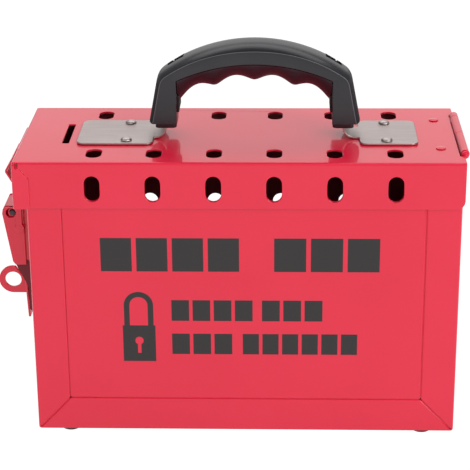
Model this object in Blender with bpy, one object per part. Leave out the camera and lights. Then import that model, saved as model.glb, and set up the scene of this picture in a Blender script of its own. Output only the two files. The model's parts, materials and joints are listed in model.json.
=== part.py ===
"""Group lockout box: a folded steel box, a lid hinged at one end, a draw latch at the other, a handle.

Lengths are in metres. X runs along the box from the latch to the hinge, Y from front to back, Z up.
Shapes are worked out in the box's own frame, whose X and Y are zero at the middle of the body and whose
Z is zero on the floor. The empty named assembly then brings the middle of the outer size to the origin.
"""

import math

import bmesh
import bpy
from mathutils import Matrix, Vector

# Fits
GAP = 0.0003
OVERRUN = 0.003
HOLE_CLEARANCE = 0.0003

# Sheet steel
SHEET = 0.0012
FOLD_RADIUS = 0.0014

# Body
BODY_WIDTH = 0.225
BODY_DEPTH = 0.0928
BODY_HEIGHT = 0.1523
FRAME_SIDE = 0.0181
FRAME_BOTTOM = 0.019
MITRE_SLIT = 0.0004
PANEL_BORDER = 0.006
HINGE_WALL_DROP = 0.0016

# Feet
FOOT_HEIGHT = 0.003
FOOT_RADIUS = 0.006
FOOT_SOLE_RADIUS = 0.0046
FOOT_STEM_RADIUS = 0.0024
FOOT_BARB_RADIUS = 0.0032
FOOT_BARB_HEIGHT = 0.0018
FOOT_INSET_X = 0.0168
FOOT_INSET_Y = 0.0095

# Lid
LID_OVERHANG = 0.0065
LID_END_RIGHT = 0.001
LID_SKIRT = 0.0251
LID_TAB_WIDTH = 0.0088
LID_TAB_CHAMFER = 0.007
LID_TAB_CORNER = 0.004
LID_CORNER_CUT = 0.0045
RELIEF_WIDTH = 0.0012
RELIEF_HEIGHT = 0.0028
RELIEF_INSET = 0.0019

# Shackle slots and key slot
SLOT_COUNT = 6
SLOT_PITCH = 0.0312
SLOT_WIDTH = 0.0081
SLOT_LENGTH = 0.014
SLOT_DROP = 0.0144
SLOT_INSET = 0.0151
KEY_SLOT_WIDTH = 0.0037
KEY_SLOT_LENGTH = 0.033
KEY_SLOT_CORNER = 0.0008
KEY_SLOT_INSET = 0.0176

# Wall holes in the rear panel
WALL_HOLE_COUNT = 4
WALL_HOLE_PITCH = 0.0374
WALL_HOLE_RADIUS = 0.0045
WALL_HOLE_HEIGHT = 0.099

# Hinge
HINGE_LENGTH = 0.066
HINGE_KNUCKLE_SHARES = (0.0, 0.46, 0.9, 1.0)
HINGE_STAND_OUT = 0.0005
HINGE_RADIUS = 0.0024
HINGE_LEAF = 0.001
HINGE_LEAF_DEPTH = 0.0205
HINGE_LEAF_REACH = 0.0195
HINGE_PIN_RADIUS = 0.0013
HINGE_PIN_HEAD_RADIUS = 0.002
HINGE_PIN_HEAD = 0.0028
HINGE_PIN_CLEARANCE = 0.00015
HINGE_RIVET_SPREAD = 0.0485
HINGE_LID_RIVET_INSET = 0.0117
HINGE_WALL_RIVET_DROP = 0.0125

# Rivets: shank, head and tail
RIVET_RADIUS = 0.0014
RIVET_HEAD_RADIUS = 0.0026
RIVET_HEAD_HEIGHT = 0.001
RIVET_TAIL_RADIUS = 0.0022
RIVET_TAIL_HEIGHT = 0.0007
FLAT_HEAD_HEIGHT = 0.0005
HANDLE_HEAD_RADIUS = 0.003
HANDLE_HEAD_HEIGHT = 0.0014

# Handle
HANDLE_OFFSET = 0.0049
HANDLE_HALF_DEPTH = 0.0122
HANDLE_RISE = 0.0522
HANDLE_HALF_SPAN = 0.0518
HANDLE_CROWN_RADIUS = 0.082
HANDLE_SHOULDER_RADIUS = 0.009
HANDLE_LEG_WIDTH = 0.0109
HANDLE_LEG_CLEARANCE = 0.0092
HANDLE_LEG_DRAFT = math.radians(9.0)
HANDLE_BAND = 0.0108
HANDLE_UNDER_RADIUS = 0.0977
HANDLE_WALL = 0.0022
HANDLE_DOME = 0.0021
HANDLE_DOME_AT_FOOT = 0.0011
HANDLE_SLOT_LENGTH = 0.0098
HANDLE_SLOT_WIDTH = 0.003
HANDLE_SLOT_DEPTH = 0.0032
HANDLE_SLOT_ANGLE = math.radians(30)
HANDLE_SLOT_Y = 0.0083
GRIP_DEPTH = 0.0107
GRIP_ENVELOPE_RADIUS = 0.08
GRIP_STEP = 0.0006
GRIP_RIB = 0.0035
GRIP_SCALLOPS = 4
GRIP_SCALLOP_RISE = 0.0024
BOOT_DROP = 0.0026
BOOT_HEIGHT = 0.018

# Handle brackets
BRACKET_SHEET = 0.001
BRACKET_WIDTH = 0.04
BRACKET_CORNER = 0.004
BRACKET_BEND = 0.006
BRACKET_REACH_LEFT = 0.0067
BRACKET_REACH_RIGHT = 0.0087
BRACKET_LENGTH_LEFT = 0.0402
BRACKET_LENGTH_RIGHT = 0.0305
BRACKET_RIVET_INSET = 0.0141
BRACKET_RIVET_SPREAD = 0.0297
NECK_WIDTH = 0.018
NECK_INSET = 0.005
NECK_HEIGHT = 0.0185

# Latch: places are measured outwards from the lid's end face and downwards from the body's top edge
STRAP_CLEARANCE = 0.0018
STRAP_LEG = 0.0032
STRAP_BOSS = 0.0026
STRAP_PIVOT_DROP = 0.0483
STRAP_PLATE_DROP = 0.0328
CLAW_BEND_DROP = 0.0273
CLAW_NOSE_OUT = 0.0091
CLAW_NOSE_DROP = 0.0156
CLAW_TIP_OUT = 0.0049
CLAW_TIP_DROP = 0.0085
CLAW_BEND = 0.0014
LEVER_PIVOT_OUT = 0.0071
LEVER_PIVOT_DROP = 0.0399
LEVER_PIN_RADIUS = 0.0015
LEVER_HALF_WIDTH = 0.0115
LEVER_INNER_OUT = 0.001
LEVER_TOP_DROP = 0.0368
LEVER_TOP_OUT = 0.0121
LEVER_WAIST_OUT = 0.0127
LEVER_WAIST_DROP = 0.0404
LEVER_LOW_OUT = 0.0083
LEVER_LOW_DROP = 0.0682
LEVER_FOOT_OUT = 0.0069
LEVER_FOOT_DROP = 0.0701
LEVER_CORNER = 0.0016
LEVER_EYE_HOLE_OUT = 0.0079
LEVER_EYE_HOLE_DROP = 0.0399
LEVER_EYE_HOLE_RADIUS = 0.0027
LEVER_SLIT_DEPTH = 0.0045
TONGUE_HALF_WIDTH = 0.009
TONGUE_START_OUT = 0.0082
TONGUE_START_DROP = 0.0645
TONGUE_KNEE_OUT = 0.0024
TONGUE_KNEE_DROP = 0.0748
TONGUE_END_OUT = 0.0012
TONGUE_END_DROP = 0.1023
TONGUE_BEND = 0.003
TONGUE_SLOT_HALF_WIDTH = 0.0021
TONGUE_SLOT_TOP = 0.0733
TONGUE_SLOT_BOTTOM = 0.0943
BASE_HALF_WIDTH = 0.01
BASE_TOP_DROP = 0.0343
BASE_BOTTOM_DROP = 0.099
BASE_WALL_OUT = 0.0045
BASE_WALL_TOP_DROP = 0.046
BASE_WALL_BOTTOM_DROP = 0.0663
BASE_WALL_SLOPE = 0.004
BASE_BOSS = 0.0026
BASE_RIVET_UPPER_DROP = 0.058
BASE_RIVET_LOWER_DROP = 0.0963
BASE_RIVET_SPREAD = 0.011
EYE_OUT = 0.0106
EYE_DROP = 0.0833
EYE_RADIUS = 0.0079
EYE_HOLE_RADIUS = 0.0045
EYE_SHEET = 0.0018
EYE_NECK = 0.0063
EYE_NECK_OUT = 0.0023

# Keeper on the lid's end: drops are measured down from the lid's top
KEEPER_WIDTH = 0.038
KEEPER_LIP_WIDTH = 0.018
KEEPER_TOP_DROP = 0.0026
KEEPER_FLOOR_DROP = 0.0144
KEEPER_LIP_DROP = 0.0108
KEEPER_LIP_OUT = 0.0036
KEEPER_BEND = 0.0009
KEEPER_SHOULDER = 0.0018
KEEPER_RIVET_SPREAD = 0.028
KEEPER_RIVET_DROP = 0.0073

# Facets
CORNER_STEPS = 4
ROUND_STEPS = 16
RIVET_STEPS = 14

# Places that follow from the sizes above
BODY_HALF = BODY_WIDTH / 2
BODY_LOW = FOOT_HEIGHT
BODY_TOP = FOOT_HEIGHT + BODY_HEIGHT
BODY_FRONT = -BODY_DEPTH / 2
LID_UNDER = BODY_TOP + GAP
LID_TOP = LID_UNDER + SHEET
LID_LOW = LID_TOP - LID_SKIRT
LID_HALF_DEPTH = BODY_DEPTH / 2 + GAP + SHEET
LID_LEFT = -BODY_HALF - LID_OVERHANG
LID_RIGHT = BODY_HALF + LID_END_RIGHT
SLOT_HEIGHT = LID_TOP - SLOT_DROP
HINGE_AXIS_X = BODY_HALF + GAP + HINGE_LEAF / 2 + HINGE_STAND_OUT
HINGE_AXIS_Z = LID_UNDER - GAP - HINGE_LEAF + HINGE_RADIUS
HANDLE_LEG_INSIDE = HANDLE_HALF_SPAN - HANDLE_LEG_WIDTH
GRIP_SCALLOP_PITCH = 2 * HANDLE_LEG_INSIDE / GRIP_SCALLOPS
NECK_X = HANDLE_HALF_SPAN - NECK_INSET
STRAP_IN = STRAP_CLEARANCE
STRAP_PIVOT_OUT = STRAP_IN + STRAP_LEG / 2
STRAP_INNER_Y = LEVER_HALF_WIDTH + GAP
STRAP_OUTER_Y = STRAP_INNER_Y + SHEET
PAN_HEAD = (RIVET_HEAD_RADIUS, RIVET_HEAD_HEIGHT)
FLAT_HEAD = (RIVET_HEAD_RADIUS, FLAT_HEAD_HEIGHT)
HANDLE_HEAD = (HANDLE_HEAD_RADIUS, HANDLE_HEAD_HEIGHT)

RED_PAINT = ("red paint", (0.78, 0.035, 0.06), 0.28, 0.0)
STEEL = ("brushed steel", (0.52, 0.5, 0.48), 0.42, 1.0)
BLACK_PLASTIC = ("black plastic", (0.035, 0.035, 0.04), 0.45, 0.0)
BLACK_RUBBER = ("black rubber", (0.02, 0.02, 0.02), 0.8, 0.0)


def clear_scene():
    """Removes every object, so that the part is all there is."""
    for thing in list(bpy.data.objects):
        bpy.data.objects.remove(thing)


def material(finish):
    """The material of that name, made the first time it is asked for."""
    name, colour, roughness, metallic = finish
    found = bpy.data.materials.get(name)
    if found:
        return found
    made = bpy.data.materials.new(name)
    made.use_nodes = True
    shader = made.node_tree.nodes["Principled BSDF"]
    shader.inputs["Base Color"].default_value = (*colour, 1.0)
    shader.inputs["Roughness"].default_value = roughness
    shader.inputs["Metallic"].default_value = metallic
    return made


def empty(name, place, parent):
    """An empty on a joint's axis; what hangs under it keeps its place in the box's frame."""
    pivot = bpy.data.objects.new(name, None)
    bpy.context.scene.collection.objects.link(pivot)
    pivot.location = place
    if parent:
        attach(pivot, parent)
    return pivot


def attach(thing, parent):
    """Parents a thing whose coordinates are those of the box's frame."""
    thing.parent = parent
    if parent.name != "assembly":
        thing.matrix_parent_inverse = Matrix.Translation(-parent.location)


def finished(name, bm, finish, parent, smooth=0.0):
    """Makes the object of a sub-part from its mesh."""
    bmesh.ops.recalc_face_normals(bm, faces=bm.faces)
    mesh = bpy.data.meshes.new(name)
    bm.to_mesh(mesh)
    bm.free()
    if smooth:
        mesh.shade_smooth()
        mesh.set_sharp_from_angle(angle=math.radians(smooth))
    mesh.materials.append(material(finish))
    thing = bpy.data.objects.new(name, mesh)
    bpy.context.scene.collection.objects.link(thing)
    attach(thing, parent)
    return thing


def apply_tool(thing, operation, bm, label):
    """Adds a Boolean whose other shape is kept as a hidden wire object."""
    bmesh.ops.recalc_face_normals(bm, faces=bm.faces)
    mesh = bpy.data.meshes.new(thing.name + "." + label)
    bm.to_mesh(mesh)
    bm.free()
    tool = bpy.data.objects.new(mesh.name, mesh)
    bpy.context.scene.collection.objects.link(tool)
    attach(tool, thing.parent)
    tool.hide_render = True
    tool.display_type = "WIRE"
    step = thing.modifiers.new(label, "BOOLEAN")
    step.operation = operation
    step.object = tool
    step.solver = "EXACT"


def cut(thing, bm, label):
    apply_tool(thing, "DIFFERENCE", bm, label)


def join(thing, bm, label):
    apply_tool(thing, "UNION", bm, label)


def keep_inside(thing, bm, label):
    apply_tool(thing, "INTERSECT", bm, label)


def spot(axis, along, a, b):
    """A point from its place along an axis and its two other coordinates, in X, Y, Z order."""
    if axis == "X":
        return Vector((along, a, b))
    if axis == "Y":
        return Vector((a, along, b))
    return Vector((a, b, along))


def prism(bm, outline, axis, low, high):
    """An outline in the plane across an axis, extruded from low to high along it."""
    ring = [bm.verts.new(spot(axis, low, a, b)) for a, b in outline]
    face = bm.faces.new(ring)
    grown = bmesh.ops.extrude_face_region(bm, geom=[face])
    moved = [item for item in grown["geom"] if isinstance(item, bmesh.types.BMVert)]
    bmesh.ops.translate(bm, verts=moved, vec=spot(axis, high - low, 0.0, 0.0))


def box(bm, low, high):
    """A block between two opposite corners."""
    outline = [(low[0], low[1]), (high[0], low[1]), (high[0], high[1]), (low[0], high[1])]
    prism(bm, outline, "Z", low[2], high[2])


def circle(centre, radius, steps=ROUND_STEPS):
    turn = 2 * math.pi / steps
    return [
        (centre[0] + radius * math.cos(turn * k), centre[1] + radius * math.sin(turn * k))
        for k in range(steps)
    ]


def stadium(centre, width, length, upright):
    """A slot outline with round ends; upright puts its length on the second coordinate."""
    reach = (length - width) / 2
    points = []
    for end, start in ((1, 0.0), (-1, math.pi)):
        for k in range(ROUND_STEPS // 2 + 1):
            angle = start + math.pi * k / (ROUND_STEPS // 2)
            points.append((width / 2 * math.cos(angle), end * reach + width / 2 * math.sin(angle)))
    if upright:
        return [(centre[0] + a, centre[1] + b) for a, b in points]
    return [(centre[0] + b, centre[1] - a) for a, b in points]


def round_corner(before, corner, after, radius):
    """The arc that takes the place of a corner between two straight edges."""
    corner = Vector(corner[:2])
    back = (Vector(before[:2]) - corner).normalized()
    on = (Vector(after[:2]) - corner).normalized()
    half = back.angle(on) / 2
    centre = corner + (back + on).normalized() * (radius / math.sin(half))
    start = corner + back * (radius / math.tan(half)) - centre
    side = 1.0 if back.cross(on) < 0 else -1.0
    turn = side * (math.pi - 2 * half)
    points = []
    for k in range(CORNER_STEPS + 1):
        angle = turn * k / CORNER_STEPS
        swung = Matrix.Rotation(angle, 2) @ start
        points.append(tuple(centre + swung))
    return points


def rounded(corners):
    """A closed outline from corners of (a, b) or (a, b, radius)."""
    points = []
    for k, corner in enumerate(corners):
        if len(corner) == 2:
            points.append(corner)
            continue
        after = corners[(k + 1) % len(corners)]
        points.extend(round_corner(corners[k - 1], corner, after, corner[2]))
    return points


def strip(path, thickness, radius):
    """The outline of a bent strip: a path along its middle, rounded at each bend, given its thickness."""
    middle = [path[0]]
    for k in range(1, len(path) - 1):
        middle.extend(round_corner(path[k - 1], path[k], path[k + 1], radius))
    middle.append(path[-1])
    points = [Vector(p) for p in middle]
    left = []
    right = []
    for k, point in enumerate(points):
        back = (point - points[k - 1]).normalized() if k else (points[1] - point).normalized()
        on = (points[k + 1] - point).normalized() if k + 1 < len(points) else back
        along = (back + on).normalized()
        across = Vector((-along.y, along.x)) * (thickness / 2 / max(along.dot(on), 0.5))
        left.append(tuple(point + across))
        right.append(tuple(point - across))
    return left + right[::-1]


def turned(bm, profile, axis, centre, steps):
    """A turned solid: a profile of (radius, place along the axis), from one end to the other."""
    rings = []
    for radius, along in profile:
        if radius == 0.0:
            rings.append([bm.verts.new(spot(axis, along, *centre))])
            continue
        rings.append([bm.verts.new(spot(axis, along, a, b)) for a, b in circle(centre, radius, steps)])
    for low, high in zip(rings, rings[1:]):
        for k in range(steps):
            after = (k + 1) % steps
            if len(low) == 1:
                bm.faces.new((low[0], high[k], high[after]))
            elif len(high) == 1:
                bm.faces.new((low[k], high[0], low[after]))
            else:
                bm.faces.new((low[k], high[k], high[after], low[after]))


def rod(bm, axis, centre, radius, low, high, steps=ROUND_STEPS):
    prism(bm, circle(centre, radius, steps), axis, low, high)


def loft(bm, sections):
    """A solid through a row of closed sections, each with as many points."""
    rings = [[bm.verts.new(point) for point in section] for section in sections]
    for low, high in zip(rings, rings[1:]):
        for k in range(len(low)):
            after = (k + 1) % len(low)
            bm.faces.new((low[k], low[after], high[after], high[k]))
    bm.faces.new(rings[0])
    bm.faces.new(rings[-1])


def folded_box(bm, low, high, radius, folds):
    """A block with some of its edges rounded; folds says which, from an edge's middle."""
    box(bm, low, high)
    edges = [edge for edge in bm.edges if folds((edge.verts[0].co + edge.verts[1].co) / 2)]
    bmesh.ops.bevel(bm, geom=edges, offset=radius, segments=CORNER_STEPS - 1, profile=0.5, affect="EDGES")


def slot_places():
    first = -SLOT_PITCH * (SLOT_COUNT - 1) / 2
    return [first + SLOT_PITCH * k for k in range(SLOT_COUNT)]


def rivet(name, parent, axis, centre, outside, stack, finish=RED_PAINT, head=PAN_HEAD):
    """A rivet through a stack: outside is where its head's face is, stack runs from there inwards."""
    way = 1.0 if stack < 0 else -1.0
    radius, height = head
    seat = outside + way * GAP
    under = outside + stack - way * GAP
    profile = [
        (0.0, seat + way * height),
        (radius * 0.55, seat + way * height * 0.85),
        (radius, seat + way * height * 0.25),
        (radius, seat),
        (RIVET_RADIUS, seat),
        (RIVET_RADIUS, under),
        (RIVET_TAIL_RADIUS, under),
        (RIVET_TAIL_RADIUS, under - way * RIVET_TAIL_HEIGHT),
        (0.0, under - way * RIVET_TAIL_HEIGHT),
    ]
    bm = bmesh.new()
    turned(bm, profile, axis, centre, RIVET_STEPS)
    return finished(name, bm, finish, parent, smooth=50)


def latch_at(out, drop):
    """A place on the latch, from the lid's end face outwards and the body's top edge down."""
    return (LID_LEFT - out, BODY_TOP - drop)


def body_wrap(parent):
    """One sheet folded to both ends, the bottom and a mitred frame at the front and the rear."""
    half = BODY_DEPTH / 2
    bm = bmesh.new()
    folded_box(
        bm, (-BODY_HALF, -half, BODY_LOW), (BODY_HALF, half, BODY_TOP), FOLD_RADIUS,
        lambda middle: middle.z < BODY_TOP - OVERRUN,
    )
    wrap = finished("body_wrap", bm, RED_PAINT, parent)
    bm = bmesh.new()
    folded_box(
        bm,
        (-BODY_HALF + SHEET, -half + SHEET, BODY_LOW + SHEET),
        (BODY_HALF - SHEET, half - SHEET, BODY_TOP + OVERRUN),
        FOLD_RADIUS - SHEET,
        lambda middle: middle.z < BODY_TOP,
    )
    cut(wrap, bm, "inside")
    bm = bmesh.new()
    window = BODY_HALF - FRAME_SIDE
    sill = BODY_LOW + FRAME_BOTTOM
    box(bm, (-window, -half - OVERRUN, sill), (window, half + OVERRUN, BODY_TOP + OVERRUN))
    cut(wrap, bm, "windows")
    bm = bmesh.new()
    for side in (-1, 1):
        for face in (-1, 1):
            mitre_slit(bm, side, face)
    cut(wrap, bm, "mitres")
    bm = bmesh.new()
    box(
        bm,
        (BODY_HALF - SHEET - OVERRUN, -half - OVERRUN, BODY_TOP - HINGE_WALL_DROP),
        (BODY_HALF + OVERRUN, half + OVERRUN, BODY_TOP + OVERRUN),
    )
    cut(wrap, bm, "hinge_room")
    bm = bmesh.new()
    for x, y in foot_places():
        rod(bm, "Z", (x, y), FOOT_STEM_RADIUS + HOLE_CLEARANCE, BODY_LOW - OVERRUN, BODY_LOW + OVERRUN)
    for y, z in base_rivet_places():
        rod(bm, "X", (y, z), RIVET_RADIUS + HOLE_CLEARANCE, -BODY_HALF - OVERRUN, -BODY_HALF + OVERRUN)
    for y, z in wall_rivet_places():
        rod(bm, "X", (y, z), RIVET_RADIUS + HOLE_CLEARANCE, BODY_HALF - OVERRUN, BODY_HALF + OVERRUN)
    cut(wrap, bm, "holes")


def mitre_slit(bm, side, face):
    """The saw-thin gap where a side flange meets the bottom flange, from the window to the corner."""
    inner = Vector((BODY_HALF - FRAME_SIDE, BODY_LOW + FRAME_BOTTOM))
    outer = Vector((BODY_HALF - FOLD_RADIUS, BODY_LOW + FOLD_RADIUS))
    along = (inner - outer).normalized()
    across = Vector((-along.y, along.x)) * (MITRE_SLIT / 2)
    start = inner + along * MITRE_SLIT
    corners = [start + across, start - across, outer - across, outer + across]
    outline = [(side * corner.x, corner.y) for corner in corners]
    front = BODY_DEPTH / 2 + OVERRUN
    back = BODY_DEPTH / 2 - SHEET - GAP
    prism(bm, outline, "Y", face * back, face * front)


def panel(name, face, parent):
    """A pressed panel: its field is flush with the frame, its border is stepped back behind it."""
    window = BODY_HALF - FRAME_SIDE - GAP
    sill = BODY_LOW + FRAME_BOTTOM + GAP
    front = BODY_DEPTH / 2
    step = front - SHEET - GAP
    bm = bmesh.new()
    low_y, high_y = sorted((face * step, face * (step - SHEET)))
    box(bm, (-window - PANEL_BORDER, low_y, sill - PANEL_BORDER), (window + PANEL_BORDER, high_y, BODY_TOP))
    sheet = finished(name, bm, RED_PAINT, parent)
    bm = bmesh.new()
    low_y, high_y = sorted((face * front, face * (step - SHEET / 2)))
    box(bm, (-window, low_y, sill), (window, high_y, BODY_TOP))
    join(sheet, bm, "field")
    bm = bmesh.new()
    low_y, high_y = sorted((face * (front - SHEET), face * (step - SHEET - OVERRUN)))
    box(bm, (-window + SHEET, low_y, sill + SHEET), (window - SHEET, high_y, BODY_TOP + OVERRUN))
    cut(sheet, bm, "hollow")
    bm = bmesh.new()
    low_y, high_y = sorted((face * (front + OVERRUN), face * (step - SHEET - OVERRUN)))
    for x in slot_places():
        prism(bm, stadium((x, SLOT_HEIGHT), SLOT_WIDTH, SLOT_LENGTH, True), "Y", low_y, high_y)
    if face > 0:
        first = -WALL_HOLE_PITCH * (WALL_HOLE_COUNT - 1) / 2
        for k in range(WALL_HOLE_COUNT):
            place = (first + WALL_HOLE_PITCH * k, BODY_LOW + WALL_HOLE_HEIGHT)
            rod(bm, "Y", place, WALL_HOLE_RADIUS, low_y, high_y)
    cut(sheet, bm, "slots")


def foot_places():
    x = BODY_HALF - FOOT_INSET_X
    y = BODY_DEPTH / 2 - FOOT_INSET_Y
    return [(-x, -y), (x, -y), (-x, y), (x, y)]


def feet(parent):
    """Push-in rubber feet: a low dome under the bottom, a stem through it and a barb above."""
    seat = BODY_LOW - GAP
    top = BODY_LOW + SHEET + GAP
    profile = [
        (0.0, 0.0),
        (FOOT_SOLE_RADIUS, 0.0),
        ((FOOT_SOLE_RADIUS + FOOT_RADIUS) / 2, seat * 0.28),
        (FOOT_RADIUS, seat * 0.75),
        (FOOT_RADIUS, seat),
        (FOOT_STEM_RADIUS, seat),
        (FOOT_STEM_RADIUS, top),
        (FOOT_BARB_RADIUS, top),
        (FOOT_STEM_RADIUS, top + FOOT_BARB_HEIGHT),
        (0.0, top + FOOT_BARB_HEIGHT),
    ]
    names = ("foot_front_left", "foot_front_right", "foot_rear_left", "foot_rear_right")
    for name, place in zip(names, foot_places()):
        bm = bmesh.new()
        turned(bm, profile, "Z", place, ROUND_STEPS + CORNER_STEPS)
        finished(name, bm, BLACK_RUBBER, parent, smooth=40)


def lid(parent):
    """One sheet: the top, front and rear skirts and a left end whose tabs fold over both skirts."""
    bm = bmesh.new()
    folded_box(
        bm,
        (LID_LEFT, -LID_HALF_DEPTH, LID_LOW),
        (LID_RIGHT, LID_HALF_DEPTH, LID_TOP),
        FOLD_RADIUS,
        lambda middle: middle.z > LID_LOW + OVERRUN and middle.x < LID_RIGHT - OVERRUN,
    )
    cover = finished("lid", bm, RED_PAINT, parent)
    bm = bmesh.new()
    inner = LID_HALF_DEPTH - SHEET
    folded_box(
        bm,
        (LID_LEFT + SHEET, -inner, LID_LOW - OVERRUN),
        (LID_RIGHT + OVERRUN, inner, LID_UNDER),
        FOLD_RADIUS - SHEET,
        lambda middle: middle.z > LID_LOW and middle.x < LID_RIGHT,
    )
    cut(cover, bm, "inside")
    bm = bmesh.new()
    for face in (-1, 1):
        lid_tab(bm, face)
    join(cover, bm, "tabs")
    bm = bmesh.new()
    for x in slot_places():
        upright = stadium((x, SLOT_HEIGHT), SLOT_WIDTH, SLOT_LENGTH, True)
        prism(bm, upright, "Y", -LID_HALF_DEPTH - OVERRUN, LID_HALF_DEPTH + OVERRUN)
    cut(cover, bm, "skirt_slots")
    bm = bmesh.new()
    for face in (-1, 1):
        for x in slot_places():
            centre = (x, face * (LID_HALF_DEPTH - SLOT_INSET))
            flat = stadium(centre, SLOT_WIDTH, SLOT_LENGTH, True)
            prism(bm, flat, "Z", LID_UNDER - OVERRUN, LID_TOP + OVERRUN)
    prism(bm, key_slot_outline(), "Z", LID_UNDER - OVERRUN, LID_TOP + OVERRUN)
    for x, y in bracket_rivet_places(-1) + bracket_rivet_places(1) + lid_rivet_places():
        rod(bm, "Z", (x, y), RIVET_RADIUS + HOLE_CLEARANCE, LID_UNDER - OVERRUN, LID_TOP + OVERRUN)
    for y, z in keeper_rivet_places():
        rod(bm, "X", (y, z), RIVET_RADIUS + HOLE_CLEARANCE, LID_LEFT - OVERRUN, LID_LEFT + OVERRUN)
    cut(cover, bm, "top_holes")
    bm = bmesh.new()
    barrel = HINGE_AXIS_X - HINGE_RADIUS - GAP
    half = HINGE_LENGTH / 2 + GAP + GAP
    front = half + HINGE_PIN_HEAD
    box(bm, (barrel, -front, LID_UNDER - OVERRUN), (LID_RIGHT + OVERRUN, half, LID_TOP + OVERRUN))
    for face in (-1, 1):
        lid_corner_cuts(bm, face)
    cut(cover, bm, "end_cuts")


def key_slot_outline():
    """The key slot: a long rectangle with small corner radii."""
    x = -BODY_HALF + KEY_SLOT_INSET
    half_x = KEY_SLOT_WIDTH / 2
    half_y = KEY_SLOT_LENGTH / 2
    corners = ((x - half_x, -half_y), (x + half_x, -half_y), (x + half_x, half_y), (x - half_x, half_y))
    return rounded([(*corner, KEY_SLOT_CORNER) for corner in corners])


def lid_tab(bm, face):
    """A tab of the left end, folded over the skirt, with its upper inner corner cut off at a slant."""
    inner = LID_LEFT + LID_TAB_WIDTH
    top = LID_TOP - FOLD_RADIUS
    outline = [
        (LID_LEFT, LID_LOW),
        (inner, LID_LOW),
        (inner, top - LID_TAB_CHAMFER, LID_TAB_CORNER),
        (inner - LID_TAB_CHAMFER, top),
        (LID_LEFT, top),
    ]
    back = LID_HALF_DEPTH - SHEET / 2
    front = LID_HALF_DEPTH + SHEET
    piece = bmesh.new()
    prism(piece, rounded(outline), "Y", face * back, face * front)
    edges = [
        edge for edge in piece.edges
        if all(abs(v.co.x - LID_LEFT) < GAP and abs(v.co.y - face * front) < GAP for v in edge.verts)
    ]
    bmesh.ops.bevel(piece, geom=edges, offset=SHEET, segments=CORNER_STEPS - 1, profile=0.5, affect="EDGES")
    mesh = bpy.data.meshes.new("tab")
    bmesh.ops.recalc_face_normals(piece, faces=piece.faces)
    piece.to_mesh(mesh)
    piece.free()
    bm.from_mesh(mesh)
    bpy.data.meshes.remove(mesh)


def lid_corner_cuts(bm, face):
    """The relief through a tab at its upper corner, and the rounded lower corner at the right end."""
    front = face * (LID_HALF_DEPTH + SHEET + OVERRUN)
    middle = (LID_LEFT + RELIEF_INSET + RELIEF_WIDTH / 2, LID_TOP - RELIEF_INSET)
    outline = stadium(middle, RELIEF_WIDTH, RELIEF_HEIGHT, True)
    prism(bm, outline, "Y", *sorted((front, face * (LID_HALF_DEPTH - GAP))))
    corner = (LID_RIGHT, LID_LOW)
    outline = round_corner((LID_RIGHT, LID_TOP), corner, (LID_LEFT, LID_LOW), LID_CORNER_CUT)
    outline += [
        (LID_RIGHT - LID_CORNER_CUT, LID_LOW - OVERRUN),
        (LID_RIGHT + OVERRUN, LID_LOW - OVERRUN),
        (LID_RIGHT + OVERRUN, LID_LOW + LID_CORNER_CUT),
    ]
    prism(bm, outline, "Y", *sorted((front, face * (LID_HALF_DEPTH - SHEET - GAP))))


def knuckle_spans(first):
    """Where along Y the knuckles of one leaf lie: every second one, from the first."""
    ends = [HINGE_LENGTH * (share - 0.5) for share in HINGE_KNUCKLE_SHARES]
    spans = list(zip(ends, ends[1:]))
    return [(low + GAP / 2, high - GAP / 2) for low, high in spans[first::2]]


def wall_rivet_places():
    z = HINGE_AXIS_Z - HINGE_WALL_RIVET_DROP
    return [(-HINGE_RIVET_SPREAD / 2, z), (HINGE_RIVET_SPREAD / 2, z)]


def lid_rivet_places():
    x = HINGE_AXIS_X - HINGE_LID_RIVET_INSET
    return [(x, -HINGE_RIVET_SPREAD / 2), (x, HINGE_RIVET_SPREAD / 2)]


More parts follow.
